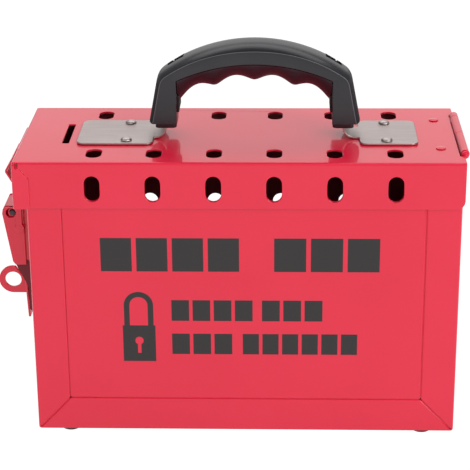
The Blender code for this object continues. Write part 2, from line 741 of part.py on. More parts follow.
def hinge(root, swing):
    """A butt hinge: one leaf outside the end wall, the other under the lid, a pin through both."""
    axis = (HINGE_AXIS_X, HINGE_AXIS_Z)
    room = HINGE_RADIUS + GAP
    half = HINGE_LENGTH / 2
    bm = bmesh.new()
    low = (BODY_HALF + GAP, -half, HINGE_AXIS_Z - HINGE_LEAF_DEPTH)
    box(bm, low, (BODY_HALF + GAP + HINGE_LEAF, half, HINGE_AXIS_Z - room))
    wall_leaf = finished("hinge_wall_leaf", bm, RED_PAINT, root)
    bm = bmesh.new()
    for low_y, high_y in knuckle_spans(0):
        rod(bm, "Y", axis, HINGE_RADIUS, low_y, high_y)
    join(wall_leaf, bm, "knuckles")
    bm = bmesh.new()
    for low_y, high_y in knuckle_spans(0):
        neck = (BODY_HALF + GAP, low_y, HINGE_AXIS_Z - room - HINGE_LEAF)
        box(bm, neck, (BODY_HALF + GAP + HINGE_LEAF, high_y, HINGE_AXIS_Z - HINGE_PIN_RADIUS - GAP))
    join(wall_leaf, bm, "necks")
    bore(wall_leaf, axis)
    bm = bmesh.new()
    for y, z in wall_rivet_places():
        rod(bm, "X", (y, z), RIVET_RADIUS + HOLE_CLEARANCE, BODY_HALF - OVERRUN, BODY_HALF + OVERRUN)
    cut(wall_leaf, bm, "holes")

    top = LID_UNDER - GAP
    bm = bmesh.new()
    box(bm, (HINGE_AXIS_X - HINGE_LEAF_REACH, -half, top - HINGE_LEAF), (HINGE_AXIS_X - room, half, top))
    lid_leaf = finished("hinge_lid_leaf", bm, RED_PAINT, swing)
    bm = bmesh.new()
    for low_y, high_y in knuckle_spans(1):
        rod(bm, "Y", axis, HINGE_RADIUS, low_y, high_y)
    join(lid_leaf, bm, "knuckles")
    bm = bmesh.new()
    for low_y, high_y in knuckle_spans(1):
        box(bm, (HINGE_AXIS_X - room - HINGE_LEAF, low_y, top - HINGE_LEAF), (HINGE_AXIS_X, high_y, top))
    join(lid_leaf, bm, "necks")
    bore(lid_leaf, axis)
    bm = bmesh.new()
    for x, y in lid_rivet_places():
        rod(bm, "Z", (x, y), RIVET_RADIUS + HOLE_CLEARANCE, top - HINGE_LEAF - OVERRUN, top + OVERRUN)
    cut(lid_leaf, bm, "holes")

    profile = [
        (0.0, -half - HINGE_PIN_HEAD),
        (HINGE_PIN_HEAD_RADIUS * 0.7, -half - HINGE_PIN_HEAD * 0.9),
        (HINGE_PIN_HEAD_RADIUS, -half - HINGE_PIN_HEAD * 0.6),
        (HINGE_PIN_HEAD_RADIUS, -half - GAP),
        (HINGE_PIN_RADIUS, -half - GAP),
        (HINGE_PIN_RADIUS, half + GAP),
        (0.0, half + GAP),
    ]
    bm = bmesh.new()
    turned(bm, profile, "Y", axis, ROUND_STEPS)
    finished("hinge_pin", bm, RED_PAINT, root, smooth=50)
    for name, (y, z) in zip(("hinge_wall_rivet_front", "hinge_wall_rivet_rear"), wall_rivet_places()):
        outside = BODY_HALF + GAP + HINGE_LEAF
        rivet(name, root, "X", (y, z), outside, -HINGE_LEAF - GAP - SHEET, head=FLAT_HEAD)
    for name, place in zip(("hinge_lid_rivet_front", "hinge_lid_rivet_rear"), lid_rivet_places()):
        rivet(name, swing, "Z", place, LID_TOP, -SHEET - GAP - HINGE_LEAF, head=FLAT_HEAD)


def bore(leaf, axis):
    bm = bmesh.new()
    reach = HINGE_LENGTH / 2 + OVERRUN
    rod(bm, "Y", axis, HINGE_PIN_RADIUS + HINGE_PIN_CLEARANCE, -reach, reach)
    cut(leaf, bm, "bore")


def crown_angle():
    """How far round the crown's arc goes before the shoulder's arc takes over."""
    reach = HANDLE_HALF_SPAN - HANDLE_SHOULDER_RADIUS * math.cos(HANDLE_LEG_DRAFT)
    return math.asin(reach / (HANDLE_CROWN_RADIUS - HANDLE_SHOULDER_RADIUS))


def crown_point(angle):
    """A point on the handle's outer line: the crown's arc, then the shoulder's, by the line's slope."""
    centre_z = LID_TOP + HANDLE_RISE - HANDLE_CROWN_RADIUS
    limit = crown_angle()
    if abs(angle) <= limit:
        return (HANDLE_CROWN_RADIUS * math.sin(angle), centre_z + HANDLE_CROWN_RADIUS * math.cos(angle))
    side = math.copysign(1.0, angle)
    inner = HANDLE_CROWN_RADIUS - HANDLE_SHOULDER_RADIUS
    x = side * inner * math.sin(limit) + HANDLE_SHOULDER_RADIUS * math.sin(angle)
    return (x, centre_z + inner * math.cos(limit) + HANDLE_SHOULDER_RADIUS * math.cos(angle))


def under_line(x):
    """The height of the shell's lower edge, or crease, at a place along the handle."""
    apex = LID_TOP + HANDLE_RISE - HANDLE_BAND
    return apex - HANDLE_UNDER_RADIUS + math.sqrt(HANDLE_UNDER_RADIUS ** 2 - x ** 2)


def handle_stations():
    """Pairs of an outer and an inner point from the middle of the crown to the foot of a leg."""
    limit = crown_angle()
    end = math.pi / 2 - HANDLE_LEG_DRAFT
    corner = (HANDLE_LEG_INSIDE, under_line(HANDLE_LEG_INSIDE))
    pairs = []
    crown_shares = (0.0, 0.17, 0.34, 0.51, 0.68, 0.84)
    for share in crown_shares:
        x = share * HANDLE_LEG_INSIDE
        pairs.append((crown_point(limit * share), (x, under_line(x)), HANDLE_DOME))
    shoulder_shares = (0.0, 0.25, 0.5, 0.75, 1.0)
    for share in shoulder_shares:
        drop = share * HANDLE_SHOULDER_RADIUS * 0.35
        outer = crown_point(limit + (end - limit) * share)
        pairs.append((outer, (corner[0], corner[1] - drop), HANDLE_DOME))
    foot = LID_TOP + HANDLE_LEG_CLEARANCE
    top = crown_point(end)
    leg_shares = (0.5, 1.0)
    for share in leg_shares:
        inner_z = corner[1] - drop + (foot - corner[1] + drop) * share
        outer_z = top[1] + (foot - top[1]) * share
        outer_x = top[0] + (top[1] - outer_z) * math.tan(HANDLE_LEG_DRAFT)
        dome = HANDLE_DOME + (HANDLE_DOME_AT_FOOT - HANDLE_DOME) * share
        pairs.append(((outer_x, outer_z), (HANDLE_LEG_INSIDE, inner_z), dome))
    return pairs


def shell_section(side, outer, inner, dome):
    """The shell's section: a channel open on the inside, with a domed outer side."""
    inner = Vector((side * inner[0], inner[1]))
    away = Vector((side * outer[0], outer[1])) - inner
    height = away.length
    away.normalize()
    depth = HANDLE_HALF_DEPTH
    cave = depth - HANDLE_WALL
    roof = height - dome - HANDLE_WALL
    across = (
        (-depth, 0.0), (-depth, height - dome), (-depth * 0.8, height - dome * 0.64),
        (-depth * 0.45, height - dome * 0.2), (0.0, height), (depth * 0.45, height - dome * 0.2),
        (depth * 0.8, height - dome * 0.64), (depth, height - dome), (depth, 0.0),
        (cave, 0.0), (cave, roof), (-cave, roof), (-cave, 0.0),
    )
    points = []
    for y, out in across:
        flat = inner + away * out
        points.append(Vector((HANDLE_OFFSET + flat.x, y, flat.y)))
    return points


def handle_shell(parent):
    """The moulded shell, a channel carried along the arch, with a slot in the top of each shoulder."""
    pairs = handle_stations()
    sections = [shell_section(-1, *pair) for pair in pairs[::-1]]
    sections += [shell_section(1, *pair) for pair in pairs[1:]]
    bm = bmesh.new()
    loft(bm, sections)
    shell = finished("handle_shell", bm, BLACK_PLASTIC, parent, smooth=35)
    bm = bmesh.new()
    for side in (-1, 1):
        angle = HANDLE_SLOT_ANGLE
        top = Vector(crown_point(side * angle))
        along = Vector((math.cos(angle), -side * math.sin(angle)))
        out = Vector((side * math.sin(angle), math.cos(angle)))
        start = top - along * (HANDLE_SLOT_LENGTH / 2)
        corners = [
            start + out * OVERRUN,
            start + along * HANDLE_SLOT_LENGTH + out * OVERRUN,
            start + along * HANDLE_SLOT_LENGTH - out * HANDLE_SLOT_DEPTH,
            start - out * HANDLE_SLOT_DEPTH,
        ]
        outline = [(HANDLE_OFFSET + corner.x, corner.y) for corner in corners]
        prism(bm, outline, "Y", HANDLE_SLOT_Y - HANDLE_SLOT_WIDTH / 2, HANDLE_SLOT_Y + HANDLE_SLOT_WIDTH / 2)
    cut(shell, bm, "shoulder_slots")


def grip_under(x):
    """The grip's lowest line: an arc with finger scallops cut up into it."""
    apex = LID_TOP + HANDLE_RISE - HANDLE_BAND - GRIP_DEPTH
    arc = apex - GRIP_ENVELOPE_RADIUS + math.sqrt(GRIP_ENVELOPE_RADIUS ** 2 - x ** 2)
    phase = x / GRIP_SCALLOP_PITCH + GRIP_SCALLOPS / 2
    return arc + GRIP_SCALLOP_RISE * abs(math.sin(math.pi * phase))


def handle_grip(parent):
    """The lower half of the grip: a rounded underside with finger scallops, and a rib in the shell."""
    reach = HANDLE_LEG_INSIDE - GAP
    count = 8 * GRIP_SCALLOPS
    wide = HANDLE_HALF_DEPTH - GRIP_STEP
    rib = HANDLE_HALF_DEPTH - HANDLE_WALL - GAP
    under_shares = ((0.97, 0.25), (0.85, 0.55), (0.62, 0.8), (0.32, 0.95), (0.0, 1.0))
    sections = []
    for k in range(count + 1):
        x = -reach + 2 * reach * k / count
        top = under_line(x) - GAP
        drop = top - grip_under(x)
        section = [(rib, top), (wide, top)]
        section += [(wide * y, top - drop * z) for y, z in under_shares]
        section += [(-wide * y, top - drop * z) for y, z in under_shares[-2::-1]]
        section += [(-wide, top), (-rib, top), (-rib, top + GRIP_RIB), (rib, top + GRIP_RIB)]
        sections.append([Vector((HANDLE_OFFSET + x, y, z)) for y, z in section])
    bm = bmesh.new()
    loft(bm, sections)
    finished("handle_grip", bm, BLACK_PLASTIC, parent, smooth=40)


def handle_boot(name, side, parent):
    """The block in a leg that holds the steel neck and stands a little out of the leg's foot."""
    foot = LID_TOP + HANDLE_LEG_CLEARANCE - BOOT_DROP
    top = foot + BOOT_HEIGHT
    inside = HANDLE_LEG_INSIDE + GAP
    end = crown_point(math.pi / 2 - HANDLE_LEG_DRAFT)
    outer_foot = end[0] + (end[1] - foot) * math.tan(HANDLE_LEG_DRAFT) - HANDLE_DOME_AT_FOOT
    outer_top = end[0] + (end[1] - top) * math.tan(HANDLE_LEG_DRAFT) - HANDLE_DOME
    skin = HANDLE_WALL + GAP * 2
    corners = ((inside, foot), (outer_foot - skin, foot), (outer_top - skin, top), (inside, top))
    outline = [(HANDLE_OFFSET + side * x, z) for x, z in corners]
    half = HANDLE_HALF_DEPTH - HANDLE_WALL - GAP
    bm = bmesh.new()
    prism(bm, outline, "Y", -half, half)
    boot = finished(name, bm, BLACK_PLASTIC, parent)
    bm = bmesh.new()
    low_x, high_x = sorted((
        HANDLE_OFFSET + side * (NECK_X - BRACKET_SHEET / 2 - GAP),
        HANDLE_OFFSET + side * (NECK_X + BRACKET_SHEET / 2 + GAP),
    ))
    half = NECK_WIDTH / 2 + GAP
    box(bm, (low_x, -half, foot - OVERRUN), (high_x, half, LID_TOP + NECK_HEIGHT + GAP))
    cut(boot, bm, "neck_slot")


def bracket_inner(side):
    """How far from the handle's middle a bracket's plate begins."""
    return NECK_X + (BRACKET_REACH_LEFT if side < 0 else BRACKET_REACH_RIGHT)


def bracket_rivet_places(side):
    x = HANDLE_OFFSET + side * (bracket_inner(side) + BRACKET_RIVET_INSET)
    return [(x, -BRACKET_RIVET_SPREAD / 2), (x, BRACKET_RIVET_SPREAD / 2)]


def handle_bracket(name, side, length, parent):
    """A steel plate on the lid whose narrow neck turns up into the handle's leg."""
    low = LID_TOP + GAP + BRACKET_SHEET / 2
    inner = bracket_inner(side)
    end = inner + length
    path = [
        (HANDLE_OFFSET + side * end, low),
        (HANDLE_OFFSET + side * NECK_X, low),
        (HANDLE_OFFSET + side * NECK_X, LID_TOP + NECK_HEIGHT),
    ]
    half = BRACKET_WIDTH / 2
    bm = bmesh.new()
    prism(bm, strip(path, BRACKET_SHEET, BRACKET_BEND), "Y", -half - OVERRUN, half + OVERRUN)
    plate = finished(name, bm, STEEL, parent, smooth=40)
    neck = NECK_WIDTH / 2
    tip = NECK_X - BRACKET_BEND - BRACKET_SHEET
    corners = [
        (end, -half, BRACKET_CORNER),
        (end, half, BRACKET_CORNER),
        (inner, half, BRACKET_CORNER),
        (inner, neck, BRACKET_CORNER / 4),
        (tip, neck),
        (tip, -neck),
        (inner, -neck, BRACKET_CORNER / 4),
        (inner, -half, BRACKET_CORNER),
    ]
    outline = [(HANDLE_OFFSET + side * x, y) for x, y in rounded(corners)]
    bm = bmesh.new()
    prism(bm, outline, "Z", LID_TOP - OVERRUN, LID_TOP + NECK_HEIGHT + OVERRUN)
    keep_inside(plate, bm, "plan")
    bm = bmesh.new()
    for x, y in bracket_rivet_places(side):
        rod(bm, "Z", (x, y), RIVET_RADIUS + HOLE_CLEARANCE, LID_TOP - OVERRUN, LID_TOP + OVERRUN)
    cut(plate, bm, "holes")


def handle(parent):
    handle_bracket("handle_bracket_left", -1, BRACKET_LENGTH_LEFT, parent)
    handle_bracket("handle_bracket_right", 1, BRACKET_LENGTH_RIGHT, parent)
    outside = LID_TOP + GAP + BRACKET_SHEET
    for word, side in (("left", -1), ("right", 1)):
        places = bracket_rivet_places(side)
        for end, place in zip(("front", "rear"), places):
            name = "handle_rivet_" + word + "_" + end
            rivet(name, parent, "Z", place, outside, -BRACKET_SHEET - GAP - SHEET, STEEL, HANDLE_HEAD)
        handle_boot("handle_boot_" + word, side, parent)
    handle_shell(parent)
    handle_grip(parent)


def keeper_rivet_places():
    z = LID_TOP - KEEPER_RIVET_DROP
    return [(-KEEPER_RIVET_SPREAD / 2, z), (KEEPER_RIVET_SPREAD / 2, z)]


def keeper(parent):
    """The strike on the lid's end: a riveted plate whose lower middle turns out and up to a lip."""
    plate_x = LID_LEFT - GAP - SHEET / 2
    lip_x = LID_LEFT - KEEPER_LIP_OUT
    path = [
        (plate_x, LID_TOP - KEEPER_TOP_DROP),
        (plate_x, LID_TOP - KEEPER_FLOOR_DROP),
        (lip_x, LID_TOP - KEEPER_FLOOR_DROP),
        (lip_x, LID_TOP - KEEPER_LIP_DROP),
    ]
    half = KEEPER_WIDTH / 2
    bm = bmesh.new()
    prism(bm, strip(path, SHEET, KEEPER_BEND), "Y", -half, half)
    plate = finished("keeper", bm, RED_PAINT, parent)
    bm = bmesh.new()
    lip = KEEPER_LIP_WIDTH / 2
    low = LID_TOP - KEEPER_FLOOR_DROP - SHEET - OVERRUN
    shoulder = LID_TOP - KEEPER_FLOOR_DROP + KEEPER_SHOULDER
    outline = [
        (lip_x - OVERRUN, low),
        (LID_LEFT + OVERRUN, low),
        (LID_LEFT + OVERRUN, shoulder),
        (plate_x - SHEET / 2 - GAP, shoulder),
        (plate_x - SHEET / 2 - GAP, LID_TOP),
        (lip_x - OVERRUN, LID_TOP),
    ]
    for face in (-1, 1):
        low_y, high_y = sorted((face * lip, face * (half + OVERRUN)))
        prism(bm, outline, "Y", low_y, high_y)
    cut(plate, bm, "shoulders")
    bm = bmesh.new()
    for y, z in keeper_rivet_places():
        rod(bm, "X", (y, z), RIVET_RADIUS + HOLE_CLEARANCE, LID_LEFT - OVERRUN, LID_LEFT + OVERRUN)
    cut(plate, bm, "holes")
    outside = LID_LEFT - GAP - SHEET
    for name, place in zip(("keeper_rivet_front", "keeper_rivet_rear"), keeper_rivet_places()):
        rivet(name, parent, "X", place, outside, SHEET + GAP + SHEET)


def base_rivet_places():
    upper = BODY_TOP - BASE_RIVET_UPPER_DROP
    lower = BODY_TOP - BASE_RIVET_LOWER_DROP
    return [(0.0, upper), (-BASE_RIVET_SPREAD / 2, lower), (BASE_RIVET_SPREAD / 2, lower)]


def latch_base(parent):
    """The fixed half of the latch: a plate with two side walls for the pin and a padlock eye."""
    wall = -BODY_HALF - GAP
    top = BODY_TOP - BASE_TOP_DROP
    bottom = BODY_TOP - BASE_BOTTOM_DROP
    bm = bmesh.new()
    box(bm, (wall - SHEET, -BASE_HALF_WIDTH, bottom), (wall, BASE_HALF_WIDTH, top))
    base = finished("latch_base", bm, RED_PAINT, parent)
    pin = latch_at(LEVER_PIVOT_OUT, LEVER_PIVOT_DROP)
    edge = LID_LEFT - BASE_WALL_OUT
    slope = BASE_WALL_SLOPE
    cheek = [
        (wall - SHEET / 2, top - SHEET),
        (wall - SHEET / 2, BODY_TOP - BASE_WALL_BOTTOM_DROP - slope),
        (edge, BODY_TOP - BASE_WALL_BOTTOM_DROP),
        (edge, BODY_TOP - BASE_WALL_TOP_DROP),
        (pin[0] - BASE_BOSS, pin[1] - BASE_BOSS, BASE_BOSS * 0.95),
        (pin[0] - BASE_BOSS, pin[1] + BASE_BOSS, BASE_BOSS * 0.95),
        (pin[0] + slope, pin[1] + BASE_BOSS),
    ]
    bm = bmesh.new()
    for face in (-1, 1):
        low_y, high_y = sorted((face * BASE_HALF_WIDTH, face * (BASE_HALF_WIDTH - SHEET)))
        prism(bm, rounded(cheek), "Y", low_y, high_y)
    join(base, bm, "side_walls")
    bm = bmesh.new()
    prism(bm, eye_outline(wall), "Y", -EYE_SHEET / 2, EYE_SHEET / 2)
    join(base, bm, "eye")
    bm = bmesh.new()
    eye = latch_at(EYE_OUT, EYE_DROP)
    rod(bm, "Y", eye, EYE_HOLE_RADIUS, -OVERRUN, OVERRUN, steps=2 * ROUND_STEPS)
    reach = LEVER_HALF_WIDTH + OVERRUN
    rod(bm, "Y", pin, LEVER_PIN_RADIUS + HINGE_PIN_CLEARANCE, -reach, reach)
    for y, z in base_rivet_places():
        rod(bm, "X", (y, z), RIVET_RADIUS + HOLE_CLEARANCE, wall - OVERRUN, wall + OVERRUN)
    cut(base, bm, "holes")
    names = ("latch_base_rivet_upper", "latch_base_rivet_front", "latch_base_rivet_rear")
    for name, place in zip(names, base_rivet_places()):
        rivet(name, parent, "X", place, wall - SHEET, SHEET + GAP + SHEET)
    bm = bmesh.new()
    half = LEVER_HALF_WIDTH - GAP
    rod(bm, "Y", pin, LEVER_PIN_RADIUS, -half, half)
    finished("latch_pivot_pin", bm, STEEL, parent, smooth=50)


def eye_outline(wall):
    """The padlock eye: a ring with a straight lower edge that runs back to the base plate."""
    centre = latch_at(EYE_OUT, EYE_DROP)
    steps = 2 * ROUND_STEPS
    points = []
    for k in range(steps // 2 + 2):
        angle = -math.pi / 2 - 2 * math.pi * k / steps
        points.append((centre[0] + EYE_RADIUS * math.cos(angle), centre[1] + EYE_RADIUS * math.sin(angle)))
    neck = centre[1] - EYE_RADIUS + EYE_NECK
    points.append((LID_LEFT - EYE_NECK_OUT, neck))
    points.append((wall - SHEET / 2, neck))
    points.append((wall - SHEET / 2, centre[1] - EYE_RADIUS))
    return points


def latch_lever(swing):
    """The lever: a pressed pan over the base, with a tongue below that the eye stands through."""
    inner = LID_LEFT - LEVER_INNER_OUT
    top = BODY_TOP - LEVER_TOP_DROP
    foot = BODY_TOP - LEVER_FOOT_DROP
    cheek = [
        (inner, top),
        (inner, foot),
        (*latch_at(LEVER_FOOT_OUT, LEVER_FOOT_DROP),),
        (*latch_at(LEVER_LOW_OUT, LEVER_LOW_DROP),),
        (*latch_at(LEVER_WAIST_OUT, LEVER_WAIST_DROP), LEVER_CORNER),
        (*latch_at(LEVER_TOP_OUT, LEVER_TOP_DROP), LEVER_CORNER),
    ]
    bm = bmesh.new()
    prism(bm, rounded(cheek), "Y", -LEVER_HALF_WIDTH, LEVER_HALF_WIDTH)
    lever = finished("latch_lever", bm, RED_PAINT, swing)
    cavity = [
        (inner + OVERRUN, top - SHEET),
        (inner + OVERRUN, foot - OVERRUN),
        latch_at(LEVER_FOOT_OUT - SHEET, LEVER_FOOT_DROP + OVERRUN),
        latch_at(LEVER_LOW_OUT - SHEET, LEVER_LOW_DROP),
        latch_at(LEVER_WAIST_OUT - SHEET, LEVER_WAIST_DROP),
        latch_at(LEVER_TOP_OUT - SHEET, LEVER_TOP_DROP + SHEET),
    ]
    half = LEVER_HALF_WIDTH - SHEET
    bm = bmesh.new()
    prism(bm, cavity, "Y", -half, half)
    cut(lever, bm, "inside")
    path = [
        latch_at(TONGUE_START_OUT, TONGUE_START_DROP),
        latch_at(LEVER_LOW_OUT - SHEET / 2, LEVER_LOW_DROP),
        latch_at(TONGUE_KNEE_OUT, TONGUE_KNEE_DROP),
        latch_at(TONGUE_END_OUT, TONGUE_END_DROP),
    ]
    bm = bmesh.new()
    prism(bm, strip(path, SHEET, TONGUE_BEND), "Y", -TONGUE_HALF_WIDTH, TONGUE_HALF_WIDTH)
    join(lever, bm, "tongue")
    bm = bmesh.new()
    slot = TONGUE_SLOT_HALF_WIDTH
    box(
        bm,
        (LID_LEFT - LEVER_LOW_OUT, -slot, BODY_TOP - TONGUE_SLOT_BOTTOM),
        (LID_LEFT + OVERRUN, slot, BODY_TOP - TONGUE_SLOT_TOP),
    )
    ear = BASE_HALF_WIDTH - SHEET - GAP
    for face in (-1, 1):
        low_y, high_y = sorted((face * ear, face * half))
        low = (LID_LEFT - LEVER_WAIST_OUT - OVERRUN, low_y, top - LEVER_SLIT_DEPTH)
        box(bm, low, (inner + OVERRUN, high_y, top + OVERRUN))
    cut(lever, bm, "slots")
    bm = bmesh.new()
    reach = LEVER_HALF_WIDTH + OVERRUN
    eye = latch_at(LEVER_EYE_HOLE_OUT, LEVER_EYE_HOLE_DROP)
    rod(bm, "Y", eye, LEVER_EYE_HOLE_RADIUS, -reach, reach)
    pivot = latch_at(STRAP_PIVOT_OUT, STRAP_PIVOT_DROP)
    rod(bm, "Y", pivot, RIVET_RADIUS + HOLE_CLEARANCE, -reach, reach)
    cut(lever, bm, "pivot_holes")


def latch_claw(swing):
    """The strap: two legs beside the lever and a plate whose upper end bulges out and hooks in."""
    middle = STRAP_IN + SHEET / 2
    path = [
        latch_at(middle, STRAP_PLATE_DROP),
        latch_at(middle, CLAW_BEND_DROP),
        latch_at(CLAW_NOSE_OUT, CLAW_NOSE_DROP),
        latch_at(CLAW_TIP_OUT, CLAW_TIP_DROP),
    ]
    bm = bmesh.new()
    prism(bm, strip(path, SHEET, CLAW_BEND), "Y", -STRAP_OUTER_Y, STRAP_OUTER_Y)
    claw = finished("latch_claw", bm, RED_PAINT, swing, smooth=40)
    leg_in = LID_LEFT - STRAP_IN
    leg_out = leg_in - STRAP_LEG
    top = BODY_TOP - CLAW_BEND_DROP
    pivot = latch_at(STRAP_PIVOT_OUT, STRAP_PIVOT_DROP)
    leg = [
        (leg_in, pivot[1]),
        (leg_out, pivot[1]),
        (leg_out, BODY_TOP - STRAP_PLATE_DROP),
        (leg_in - SHEET, top),
        (leg_in, top),
    ]
    bm = bmesh.new()
    for face in (-1, 1):
        prism(bm, leg, "Y", *sorted((face * STRAP_INNER_Y, face * STRAP_OUTER_Y)))
    join(claw, bm, "legs")
    bm = bmesh.new()
    for face in (-1, 1):
        rod(bm, "Y", pivot, STRAP_BOSS, *sorted((face * STRAP_INNER_Y, face * STRAP_OUTER_Y)))
    join(claw, bm, "bosses")
    bm = bmesh.new()
    reach = STRAP_OUTER_Y + OVERRUN
    rod(bm, "Y", pivot, RIVET_RADIUS + HOLE_CLEARANCE, -reach, reach)
    cut(claw, bm, "pivot_holes")


def claw_rivets(swing):
    """The two short pivots of the strap, set flush with its outside."""
    pivot = latch_at(STRAP_PIVOT_OUT, STRAP_PIVOT_DROP)
    inner = LEVER_HALF_WIDTH - SHEET + GAP / 2
    for name, face in (("claw_rivet_front", -1), ("claw_rivet_rear", 1)):
        bm = bmesh.new()
        rod(bm, "Y", pivot, RIVET_RADIUS, *sorted((face * inner, face * STRAP_OUTER_Y)), steps=RIVET_STEPS)
        finished(name, bm, RED_PAINT, swing, smooth=50)


def main():
    clear_scene()
    reach_left = LID_LEFT - EYE_OUT - EYE_RADIUS
    reach_right = HINGE_AXIS_X + HINGE_RADIUS
    assembly = empty("assembly", (-(reach_left + reach_right) / 2, 0.0, 0.0), None)
    lid_axis = empty("lid_axis", (HINGE_AXIS_X, 0.0, HINGE_AXIS_Z), assembly)
    lever_x, lever_z = latch_at(LEVER_PIVOT_OUT, LEVER_PIVOT_DROP)
    lever_axis = empty("lever_axis", (lever_x, 0.0, lever_z), assembly)
    claw_x, claw_z = latch_at(STRAP_PIVOT_OUT, STRAP_PIVOT_DROP)
    claw_axis = empty("claw_axis", (claw_x, 0.0, claw_z), lever_axis)
    body_wrap(assembly)
    panel("front_panel", -1, assembly)
    panel("rear_panel", 1, assembly)
    feet(assembly)
    hinge(assembly, lid_axis)
    latch_base(assembly)
    lid(lid_axis)
    keeper(lid_axis)
    handle(lid_axis)
    latch_lever(lever_axis)
    claw_rivets(lever_axis)
    latch_claw(claw_axis)


main()
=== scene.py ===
# %% [markdown]
# # A group lockout box
# This lesson dresses a folded steel lockout box: a glossy red box with a hinged lid full of padlock slots,
# a draw latch on one end, and a black moulded handle on two steel brackets. The construction model gives
# the solids, already in place and in metres. The first cell loads them.

# %% Load the frame
import json
import math

import bmesh
import bpy
import numpy as np
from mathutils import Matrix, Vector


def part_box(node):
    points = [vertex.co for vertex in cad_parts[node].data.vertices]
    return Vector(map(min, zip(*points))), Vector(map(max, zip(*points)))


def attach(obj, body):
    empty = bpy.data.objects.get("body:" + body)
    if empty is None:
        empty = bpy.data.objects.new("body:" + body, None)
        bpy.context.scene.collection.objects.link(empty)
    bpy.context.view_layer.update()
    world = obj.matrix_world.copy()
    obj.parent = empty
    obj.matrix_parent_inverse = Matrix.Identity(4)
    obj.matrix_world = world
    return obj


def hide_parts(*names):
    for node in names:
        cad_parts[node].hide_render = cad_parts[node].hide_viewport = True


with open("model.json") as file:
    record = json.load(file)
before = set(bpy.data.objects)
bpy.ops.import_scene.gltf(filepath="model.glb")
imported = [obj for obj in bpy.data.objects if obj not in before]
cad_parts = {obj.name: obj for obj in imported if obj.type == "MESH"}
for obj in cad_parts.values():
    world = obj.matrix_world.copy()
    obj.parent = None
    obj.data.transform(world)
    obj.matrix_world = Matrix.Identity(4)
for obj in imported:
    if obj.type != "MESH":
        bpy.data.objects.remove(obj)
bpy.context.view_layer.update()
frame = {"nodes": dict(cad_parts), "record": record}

# %% [markdown]
# ## The camera
# The view is a slightly raised front view, from about 0.95 m away with a long lens. Three angles turn the
# camera: yaw, pitch and a small roll. Their matrix has rows for right, down and forward. A Blender camera
# looks down its own -Z, with +Y up, so the last two change sign to become its axes.

# %% Camera
from mathutils import Matrix, Vector

PICTURE_PIXELS = 470
FOCAL_PIXELS = 1666.07
SENSOR_MM = 36.0
YAW, PITCH, ROLL = 0.033222, 0.375506, -0.008646
CAMERA_PLACE = Vector((0.032678, -0.849126, 0.433512))
CLIP_NEAR, CLIP_FAR = 0.05, 20.0


def placed(name, data):
    """A new object for its data, linked to the scene."""
    thing = bpy.data.objects.new(name, data)
    bpy.context.scene.collection.objects.link(thing)
    return thing


def camera_turn(yaw, pitch, roll):
    """Rows: right, down and forward, after turning by yaw, tipping by pitch and leaning by roll."""
    turn = Matrix(((math.cos(yaw), math.sin(yaw), 0), (-math.sin(yaw), math.cos(yaw), 0), (0, 0, 1)))
    base = Matrix(((1, 0, 0), (0, 0, -1), (0, 1, 0)))
    tip = Matrix(((1, 0, 0), (0, math.cos(pitch), -math.sin(pitch)), (0, math.sin(pitch), math.cos(pitch))))
    lean = Matrix(((math.cos(roll), -math.sin(roll), 0), (math.sin(roll), math.cos(roll), 0), (0, 0, 1)))
    return lean @ tip @ base @ turn


right, down, forward = camera_turn(YAW, PITCH, ROLL)
camera = placed("camera", bpy.data.cameras.new("camera"))
camera.data.sensor_width = SENSOR_MM
camera.data.lens = FOCAL_PIXELS / PICTURE_PIXELS * SENSOR_MM
camera.data.clip_start, camera.data.clip_end = CLIP_NEAR, CLIP_FAR
camera_axes = Matrix((right, -down, -forward)).transposed()
camera.matrix_world = Matrix.Translation(CAMERA_PLACE) @ camera_axes.to_4x4()
bpy.context.scene.camera = camera
print("lens, mm:", round(camera.data.lens, 1))

# %% [markdown]
# ## Shader maths as sums
# A node tree is easier to read as arithmetic. `Signal` wraps one output socket: +, - and * on it add Math
# nodes, and `node` adds any other node from its type, its settings and its inputs. A colour never goes
# through a Math node, which would turn it grey: it goes through `mixed`.


# %% Signals
class Signal:
    """An output socket of a node tree, with arithmetic."""

    def __init__(self, tree, socket):
        self.tree = tree
        self.socket = socket

    def node(self, kind, settings=None, inputs=None, output=0):
        """Adds a node: its settings first, then the values or signals of its sockets."""
        made = self.tree.nodes.new(kind)
        for name, value in (settings or {}).items():
            setattr(made, name, value)
        for key, value in (inputs or {}).items():
            plug(self.tree, made.inputs[key], value)
        return Signal(self.tree, made.outputs[output])

    def math(self, operation, *values):
        return self.node("ShaderNodeMath", {"operation": operation}, dict(enumerate(values)))

    def __add__(self, other):
        return self.math("ADD", self, other)

    def __sub__(self, other):
        return self.math("SUBTRACT", self, other)

    def __rsub__(self, other):
        return self.math("SUBTRACT", other, self)

    def __mul__(self, other):
        return self.math("MULTIPLY", self, other)

    def __abs__(self):
        return self.math("ABSOLUTE", self)

    __radd__ = __add__
    __rmul__ = __mul__

    def above(self, edge, softness):
        """0 below the edge and 1 above it, with a soft step between."""
        low = edge - softness
        high = edge + softness
        sockets = {0: self, 1: low, 2: high, 3: 0.0, 4: 1.0}
        return self.node("ShaderNodeMapRange", {"clamp": True}, sockets)

    def below(self, edge, softness):
        return 1.0 - self.above(edge, softness)


def plug(tree, socket, value):
    if isinstance(value, Signal):
        tree.links.new(value.socket, socket)
    else:
        socket.default_value = value


# %% [markdown]
# ## Helpers for every finish
# A finish is one Principled shader. What is the same all over goes straight to its sockets. What changes
# from place to place is worked out from Object coordinates, which stay with the piece when it moves.


# %% Colours, noise and bump
def mixed(factor, a, b):
    """A colour between two, by a factor signal."""
    return factor.node("ShaderNodeMix", {"data_type": "RGBA"}, {0: factor, 6: a, 7: b}, output=2)


